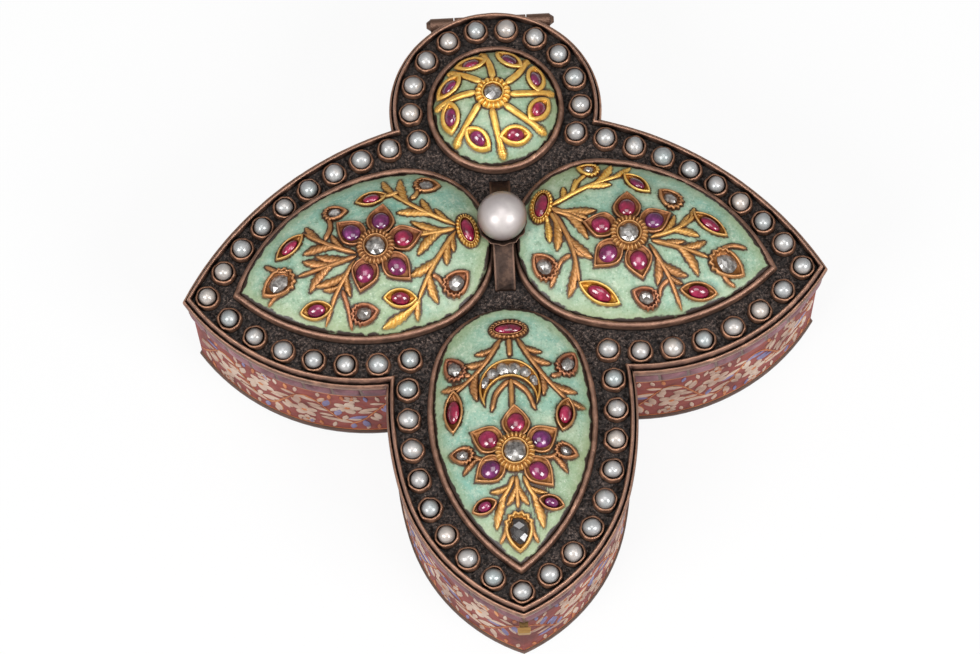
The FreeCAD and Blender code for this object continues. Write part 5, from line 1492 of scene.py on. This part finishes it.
def dress_round():
    """Pinwheel of eight gold stems, each with a ruby leaf, about a square diamond."""
    petal = PETALS["round"]
    work = Dressing("round")
    centre = petal.place(*PINWHEEL_CENTRE_SHARES)
    make_fluted_collet(work.settings, petal, centre, 1, PINWHEEL_COLLET, PINWHEEL_COLLET,
                       PINWHEEL_FLUTE_SCALE, PINWHEEL_FLUTES, PINWHEEL_TINT)
    make_rose_cut(work.diamonds, petal, centre, PINWHEEL_GEM_TURN, PINWHEEL_GEM_HALF, PINWHEEL_GEM_HALF,
                  *PINWHEEL_LEVELS, PINWHEEL_GEM_SIDES, PINWHEEL_SMOKE)
    for k in range(PINWHEEL_ARMS):
        arm = math.radians(PINWHEEL_TURN + 360 * k / PINWHEEL_ARMS + dice.uniform(*PINWHEEL_TURN_SPREAD))
        start = centre + cmath.rect(ARM_START, arm - math.radians(ARM_START_TURN))
        end = petal.inside(centre + cmath.rect(ARM_END, arm), SETTING_MARGIN)
        line = work.stem(PINWHEEL_TINT, start, end, dice.uniform(*ARM_BEND_SHARES), (), ARM_HALVES)
        way = unit(end - start) * ARM_LEAF_TURN
        make_blade(work.vine, petal, end - way * ARM_LEAF_START, end - way * ARM_LEAF_CONTROL,
                   petal.inside(end + way * ARM_LEAF_END, ARM_LEAF_MARGIN), ARM_LEAF_WIDTH, PINWHEEL_TINT)
        root = line[round(LEAF_ROOT_SHARE * (len(line) - 1))]
        tip = petal.inside(centre + cmath.rect(LEAF_TIP, arm + math.radians(LEAF_SWING)), LEAF_TIP_MARGIN)
        work.leaf(root, tip, LEAF_WIDTH, PINWHEEL_TINT, dice.choice(LEAF_GEM_TINTS), BROAD_PROFILE)
    work.finish()


# Centre pearl, its cup and its strap

PEARL_AXIS = 8.575j
LARGE_PEARL_LEVEL = 33.35
LARGE_PEARL_RADIUS = 3.97
LARGE_PEARL_TINT = 0.5
LARGE_PEARL_RINGS = 40
LARGE_PEARL_SIDES = 64
CUP_PROFILE = ((1.6, 28.7), (1.75, 28.95), (2.4, 29.3), (3.3, 29.75), (3.95, 30.15), (4.0, 30.3), (3.8, 30.3),
               (3.0, 29.85))
CUP_SIDES = 96
CUP_FLUTES = 12
CUP_FLUTE_SHARE = 0.03
CUP_CLEARANCE = 0.09
STRAP_ENDS = (-1.2, 18.35)
STRAP_RISE = 4.2
STRAP_STEPS = 40
STRAP_SECTION = ((-1.7, -0.8), (-1.7, -0.12), (-1.6, 0.0), (-1.4, 0.0), (-1.25, -0.12), (-0.9, -0.2),
                 (0.0, -0.14), (0.9, -0.2), (1.25, -0.12), (1.4, 0.0), (1.6, 0.0), (1.7, -0.12), (1.7, -0.8))


def make_centre_pearl():
    builder = Builder()
    make_ball(builder, flat(PEARL_AXIS, LARGE_PEARL_LEVEL), LARGE_PEARL_RADIUS, LARGE_PEARL_TINT,
              rings=LARGE_PEARL_RINGS, sides=LARGE_PEARL_SIDES)
    add_piece("centre_pearl_nacre", builder, "lid", [LARGE_PEARL], "centre_pearl")


def make_cup():
    """Fluted cup under the large pearl."""
    builder = Builder()
    rows = []
    for radius, z in CUP_PROFILE:
        row = []
        for turn in turns(CUP_SIDES):
            reach = radius * (1 + CUP_FLUTE_SHARE * math.cos(CUP_FLUTES * turn)) - CUP_CLEARANCE
            row.append(flat(PEARL_AXIS + cmath.rect(reach, turn), z))
        rows.append(row)
    builder.grid(rows)
    add_piece("pearl_cup_flutes", builder, "lid", [STRAP_METAL], "pearl_cup")


def make_strap():
    """Arched strap with raised edges."""
    builder = Builder()
    front, back = STRAP_ENDS
    half_run = (back - front) / 2
    radius = (half_run**2 + STRAP_RISE**2) / (2 * STRAP_RISE)
    centre_y = (front + back) / 2
    centre_z = GROUND + STRAP_RISE - radius
    reach = math.asin(half_run / radius)
    rows = []
    for k in range(STRAP_STEPS + 1):
        angle = -reach + 2 * reach * k / STRAP_STEPS
        row = []
        for x, lift in STRAP_SECTION:
            distance = radius + lift
            z = max(centre_z + distance * math.cos(angle), GROUND)
            row.append((x, centre_y + distance * math.sin(angle), z))
        rows.append(row)
    builder.grid(rows)
    add_piece("pearl_strap_band", builder, "lid", [STRAP_METAL], "pearl_strap")


# Lappets on the skirt

LAPPET_ROWS = 8
LAPPET_COLUMNS = 12
LAPPET_SLANT = 0.25
LAPPET_FOOT = 0.02
LAPPET_SWELL = 0.27
LAPPET_SIDE_POWER = 5
LAPPET_END_POWER = 4
LAPPET_ROOT = 0.1
LAPPET_HINGE_MARGIN = 2.2


def lappet_row(path, start, end, share):
    """One level of a lappet: its pillowed front, then its two corners in the skirt."""
    slant = LAPPET_SLANT * (share - 0.5)
    z = LAPPET_LOW + (LAPPET_HIGH - LAPPET_LOW) * share
    row = []
    for i in range(LAPPET_COLUMNS + 1):
        u = i / LAPPET_COLUMNS
        place, outwards = path.at(start + (end - start) * u + slant)
        swell = (1 - abs(2 * u - 1) ** LAPPET_SIDE_POWER) * (1 - abs(2 * share - 1) ** LAPPET_END_POWER)
        row.append(flat(place + outwards * (LAPPET_FOOT + LAPPET_SWELL * swell), z))
    for corner in (end, start):
        place, outwards = path.at(corner + slant)
        row.append(flat(place - outwards * LAPPET_ROOT, z))
    return row


def make_lappets(lobe):
    """Pillowed enamel lappets that hang on the skirt, except beside the hinge."""
    builder = Builder()
    for path in lobe_runs(lobe, SKIRT_INSET):
        count = max(1, round(path.length / LAPPET_PITCH))
        pitch = path.length / count
        for k in range(count):
            start = pitch * k + LAPPET_GAP / 2
            end = pitch * (k + 1) - LAPPET_GAP / 2
            middle = path.at((start + end) / 2)[0]
            at_back = lobe == "round" and middle.imag > ROUND_CENTRE.imag
            if not (at_back and abs(middle.real) < HINGE_HALF + LAPPET_HINGE_MARGIN):
                builder.grid([lappet_row(path, start, end, j / LAPPET_ROWS) for j in range(LAPPET_ROWS + 1)])
    add_piece(f"lappets_{lobe}_pillows", builder, "lid", [MAUVE_ENAMEL], f"lappets_{lobe}")


# Painted flowers on the walls

WALL_MATERIALS = [CREAM, BLUE, ORANGE]
CREAM_SLOT, BLUE_SLOT, GOLD_SLOT = range(3)
WALL_MARGIN = 0.15
PAINT_ROOT = -0.05
PAINT_LIFT = 0.1
PAINT_BEVEL = 0.06
PAINT_EDGE_DROP = 0.03
LINING_WIDTH = 0.13
LINING_LIFT = 0.04
BLADE_END_MARGIN = 0.5
DOT_POINTS = 14
DOT_PROFILE = ((0.0, -0.05), (0.0, 0.09), (0.12, 0.15))
DOT_MARGIN = 0.3
LINE_LIFT = 0.06
LINE_STEP = 0.5
LINE_TINT = 0.5

# Flowers: level from the middle of the wall, and size
WALL_FLOWERS = ((-2.2, 2.9), (-6.3, 1.7))
FLOWER_WANDER = (-0.5, 0.5)
FLOWER_PETALS = 5
FLOWER_SQUEEZE_SHARE = 0.85
FLOWER_CORE = 0.35
FLOWER_PETAL_SHARE = 0.6
FLOWER_DOT_SHARE = 0.18

# The wavy stem and its leaves: turn, length and width
SCROLL_PITCH = 7.5
SCROLL_RISE = 5.0
SCROLL_HALF = 0.16
SCROLL_END = 0.6
SCROLL_STEPS = 4
SCROLL_LEAVES = ((0.7, 3.8, 1.25), (-1.0, 2.8, 1.0))
SCROLL_LEAF_ROOT = 0.3
SCROLL_LEAF_MARGIN = 0.6
SCROLL_LEAF_SLOTS = (CREAM_SLOT, CREAM_SLOT, CREAM_SLOT, BLUE_SLOT)
SCROLL_LINED_SHARE = 0.4
LEAF_STEP = 4
LEAF_FIRST = 2
LEAF_LAST = -3

# Small leaves along the borders, and the border lines with their half widths
SPRIG_PITCH = 1.9
SPRIG_END = 1.2
SPRIG_INSET = 0.7
SPRIG_LEAN = (-0.6, 0.6)
SPRIG_LENGTHS = (1.8, 2.8)
SPRIG_WIDTH = 0.7
SPRIG_CLEARANCE = 1.0
SPRIG_SLOTS = (CREAM_SLOT, CREAM_SLOT, BLUE_SLOT, GOLD_SLOT)
BORDER_END = 0.3
BORDER_STEP = 2
BORDER_LINES = ((ENAMEL_HIGH - 0.35, 0.16), (ENAMEL_LOW + 0.4, 0.14))


class WallPainter:
    """Thin raised enamel work on one run of a wall; places are length along the run and height."""

    def __init__(self, path, builder):
        self.path = path
        self.builder = builder

    def at(self, spot, lift):
        place, outwards = self.path.at(spot.real)
        z = clamp(spot.imag, ENAMEL_LOW + WALL_MARGIN, ENAMEL_HIGH - WALL_MARGIN)
        return flat(place + outwards * lift, z)

    def fits(self, spot, margin):
        return margin < spot.real < self.path.length - margin

    def blade(self, root, tip, width, material, lined=False):
        """Pointed leaf or petal, with a thin gold edge below it where it is lined."""
        if not (self.fits(root, BLADE_END_MARGIN) and self.fits(tip, BLADE_END_MARGIN)):
            return
        length = abs(tip - root)
        way = unit(tip - root)
        middle = (root + tip) / 2
        layers = [(LINING_WIDTH, GOLD_SLOT, LINING_LIFT)] if lined else []
        for grow, finish, lift in layers + [(0.0, material, PAINT_LIFT)]:
            shape = partial(leaf_outline, length + 2 * grow, width + 2 * grow)
            outer = shape(0.0)
            inner = shape(PAINT_BEVEL)
            levels = ((outer, PAINT_ROOT), (outer, lift - PAINT_EDGE_DROP), (inner, lift))
            rows = [[self.at(middle + way * point, level) for point in ring] for ring, level in levels]
            self.builder.grid(rows, dice.random(), finish)

    def dot(self, spot, radius, material):
        if not self.fits(spot, radius + DOT_MARGIN):
            return
        rows = []
        for inset, lift in DOT_PROFILE:
            ring = oval_outline(radius - inset, radius - inset, DOT_POINTS)
            rows.append([self.at(spot + point, lift) for point in ring])
        self.builder.grid(rows, dice.random(), material)

    def line(self, spots, half, material):
        """Thin line through some places."""
        points = smooth_line(spots, LINE_STEP)
        rows = []
        for k, spot in enumerate(points):
            across = course(points, k) * 1j * half
            rows.append([self.at(spot - across, PAINT_ROOT), self.at(spot - across, LINE_LIFT),
                         self.at(spot + across, LINE_LIFT), self.at(spot + across, PAINT_ROOT)])
        self.builder.grid(rows, LINE_TINT, material)

    def flower(self, spot, size, turn):
        """Five petals, narrower along the wall than up it."""
        for k in range(FLOWER_PETALS):
            way = cmath.rect(1, turn + 2 * math.pi / FLOWER_PETALS * k)
            way = complex(FLOWER_SQUEEZE_SHARE * way.real, way.imag)
            self.blade(spot + way * FLOWER_CORE, spot + way * size, size * FLOWER_PETAL_SHARE, CREAM_SLOT)
        self.dot(spot, size * FLOWER_DOT_SHARE, GOLD_SLOT)

    def scroll(self):
        """Wavy stem with a flower in every hollow and leaves along it."""
        count = max(2, round(self.path.length / SCROLL_PITCH))
        pitch = self.path.length / count
        middle = (ENAMEL_LOW + ENAMEL_HIGH) / 2
        stem = []
        for k in range(SCROLL_STEPS * count + 1):
            along = clamp(pitch * k / SCROLL_STEPS, SCROLL_END, self.path.length - SCROLL_END)
            stem.append(complex(along, middle + SCROLL_RISE * math.cos(math.pi * k / SCROLL_STEPS)))
        self.line(stem, SCROLL_HALF, GOLD_SLOT)
        for k in range(count + 1):
            side = -1 if k % 2 else 1
            for level, size in WALL_FLOWERS:
                hollow_shade = complex(pitch * k + dice.uniform(*FLOWER_WANDER), middle + level * side)
                if self.fits(hollow_shade, size):
                    self.flower(hollow_shade, size, dice.uniform(0, 1))
        line = smooth_line(stem, LINE_STEP)
        self.leaves(line)
        self.sprigs(line)

    def leaves(self, line):
        """Pairs of leaves along the wavy stem."""
        for index in range(LEAF_FIRST, len(line) + LEAF_LAST, LEAF_STEP):
            way = course(line, index)
            side = 1 if (index // LEAF_STEP) % 2 else -1
            for turn, length, width in SCROLL_LEAVES:
                root = line[index] + way * cmath.rect(SCROLL_LEAF_ROOT, turn * side)
                tip = line[index] + way * cmath.rect(length, turn * side)
                if ENAMEL_LOW + SCROLL_LEAF_MARGIN < tip.imag < ENAMEL_HIGH - SCROLL_LEAF_MARGIN:
                    material = dice.choice(SCROLL_LEAF_SLOTS)
                    self.blade(root, tip, width, material, dice.random() < SCROLL_LINED_SHARE)

    def sprigs(self, line):
        """Small leaves along both borders where the wavy stem leaves room."""
        along = SPRIG_END
        while along < self.path.length - SPRIG_END:
            for level, rise in ((ENAMEL_HIGH - SPRIG_INSET, -1), (ENAMEL_LOW + SPRIG_INSET, 1)):
                root = complex(along, level)
                tip = root + complex(dice.uniform(*SPRIG_LEAN), rise * dice.uniform(*SPRIG_LENGTHS))
                if min(abs(tip - point) for point in line) > SPRIG_CLEARANCE:
                    self.blade(root, tip, SPRIG_WIDTH, dice.choice(SPRIG_SLOTS))
            along += SPRIG_PITCH

    def borders(self):
        run = self.path.length - BORDER_END - BORDER_END
        count = max(2, int(self.path.length / BORDER_STEP))
        for level, half in BORDER_LINES:
            spots = [complex(BORDER_END + run * k / count, level) for k in range(count + 1)]
            self.line(spots, half, GOLD_SLOT)


def paint_walls(lobe):
    builder = Builder()
    for path in lobe_runs(lobe, ENAMEL_INSET):
        painter = WallPainter(path, builder)
        painter.scroll()
        painter.borders()
    add_piece(f"wall_flowers_{lobe}", builder, "base", WALL_MATERIALS)


# Stage, light and camera; lengths here are metres

FLOOR_HALF = 3.0
FLOOR_GREY = (0.8, 0.8, 0.8, 1)
FLOOR_WHITE_SHARE = 0.88
WHITE = (1, 1, 1, 1)
WORLD_STRENGTH = 0.3

# Softboxes: azimuth, elevation, distance, side and power
SOFTBOXES = {
    "left_softbox": (-48, 40, 0.7, 0.28, 2.6),
    "right_softbox": (48, 40, 0.7, 0.28, 2.6),
    "top_softbox": (0, 82, 0.9, 0.5, 2.4),
}

# Camera: place and aim in millimetres, roll in degrees, lens and sensor in millimetres
CAMERA_PLACE = Vector((-6.4, -210.2, 566.6))
CAMERA_AIM = Vector((-2.8, -5.3, 20.0))
CAMERA_ROLL = -2.04
CAMERA_LENS = 132.2
CAMERA_SENSOR = 36.0
CAMERA_CLIPS = (0.01, 20.0)


def place_object(name, data):
    obj = bpy.data.objects.new(name, data)
    bpy.context.scene.collection.objects.link(obj)
    return obj


def pale_floor():
    """Matt floor that looks almost white to camera, mirror and glass rays and keeps the object's shadow."""
    shader = Shader("pale_floor")
    shader.nodes.remove(shader.surface)
    matt = shader.node("ShaderNodeBsdfDiffuse")
    matt.inputs["Color"].default_value = FLOOR_GREY
    paper = shader.node("ShaderNodeEmission")
    paper.inputs["Color"].default_value = WHITE
    rays = shader.node("ShaderNodeLightPath").outputs
    seen = rays["Is Camera Ray"]
    for name in ("Is Glossy Ray", "Is Transmission Ray"):
        seen = shader.add(seen, rays[name])
    blend = shader.node("ShaderNodeMixShader", Fac=shader.level(seen, 0.0, 1.0, 0.0, FLOOR_WHITE_SHARE))
    shader.links.new(matt.outputs["BSDF"], blend.inputs[1])
    shader.links.new(paper.outputs["Emission"], blend.inputs[2])
    shader.links.new(blend.outputs["Shader"], shader.nodes["Material Output"].inputs["Surface"])
    return shader.material


def make_stage():
    mesh = bpy.data.meshes.new("floor")
    corners = [(x * FLOOR_HALF, y * FLOOR_HALF, 0) for x, y in ((-1, -1), (1, -1), (1, 1), (-1, 1))]
    mesh.from_pydata(corners, [], [(0, 1, 2, 3)])
    mesh.materials.append(pale_floor())
    place_object("floor", mesh)


def make_world():
    world = bpy.data.worlds.new("studio")
    bpy.context.scene.world = world
    world.use_nodes = True
    soft = world.node_tree.nodes["Background"]
    soft.inputs["Color"].default_value = WHITE
    soft.inputs["Strength"].default_value = WORLD_STRENGTH


def add_softbox(name, azimuth, elevation, distance, side, power):
    """Square softbox that faces the origin."""
    lamp = bpy.data.lights.new(name, "AREA")
    lamp.shape = "RECTANGLE"
    lamp.size = lamp.size_y = side
    lamp.energy = power
    obj = place_object(name, lamp)
    turn = math.radians(azimuth)
    rise = math.radians(elevation)
    way = Vector((math.sin(turn) * math.cos(rise), -math.cos(turn) * math.cos(rise), math.sin(rise)))
    obj.location = way * distance
    obj.rotation_euler = obj.location.to_track_quat("Z", "Y").to_euler()


def make_camera():
    data = bpy.data.cameras.new("camera")
    data.lens = CAMERA_LENS
    data.sensor_width = CAMERA_SENSOR
    data.clip_start, data.clip_end = CAMERA_CLIPS
    camera = place_object("camera", data)
    turn = (CAMERA_PLACE - CAMERA_AIM).to_track_quat("Z", "Y").to_matrix().to_4x4()
    roll = Matrix.Rotation(math.radians(CAMERA_ROLL), 4, "Z")
    camera.matrix_world = Matrix.Translation(CAMERA_PLACE * MM) @ turn @ roll
    bpy.context.scene.camera = camera


def build_scene():
    dress_cad_nodes()
    make_rim()
    places = border_places()
    for lobe in LOBES:
        make_bezel(lobe)
        make_pearls(lobe, places[lobe])
        make_lappets(lobe)
        paint_walls(lobe)
    for lobe in ("right", "front", "left"):
        dress_petal(lobe)
    dress_round()
    make_centre_pearl()
    make_cup()
    make_strap()
    make_stage()
    make_world()
    for name, settings in SOFTBOXES.items():
        add_softbox(name, *settings)
    make_camera()
    bpy.context.scene.view_settings.view_transform = "Standard"


build_scene()
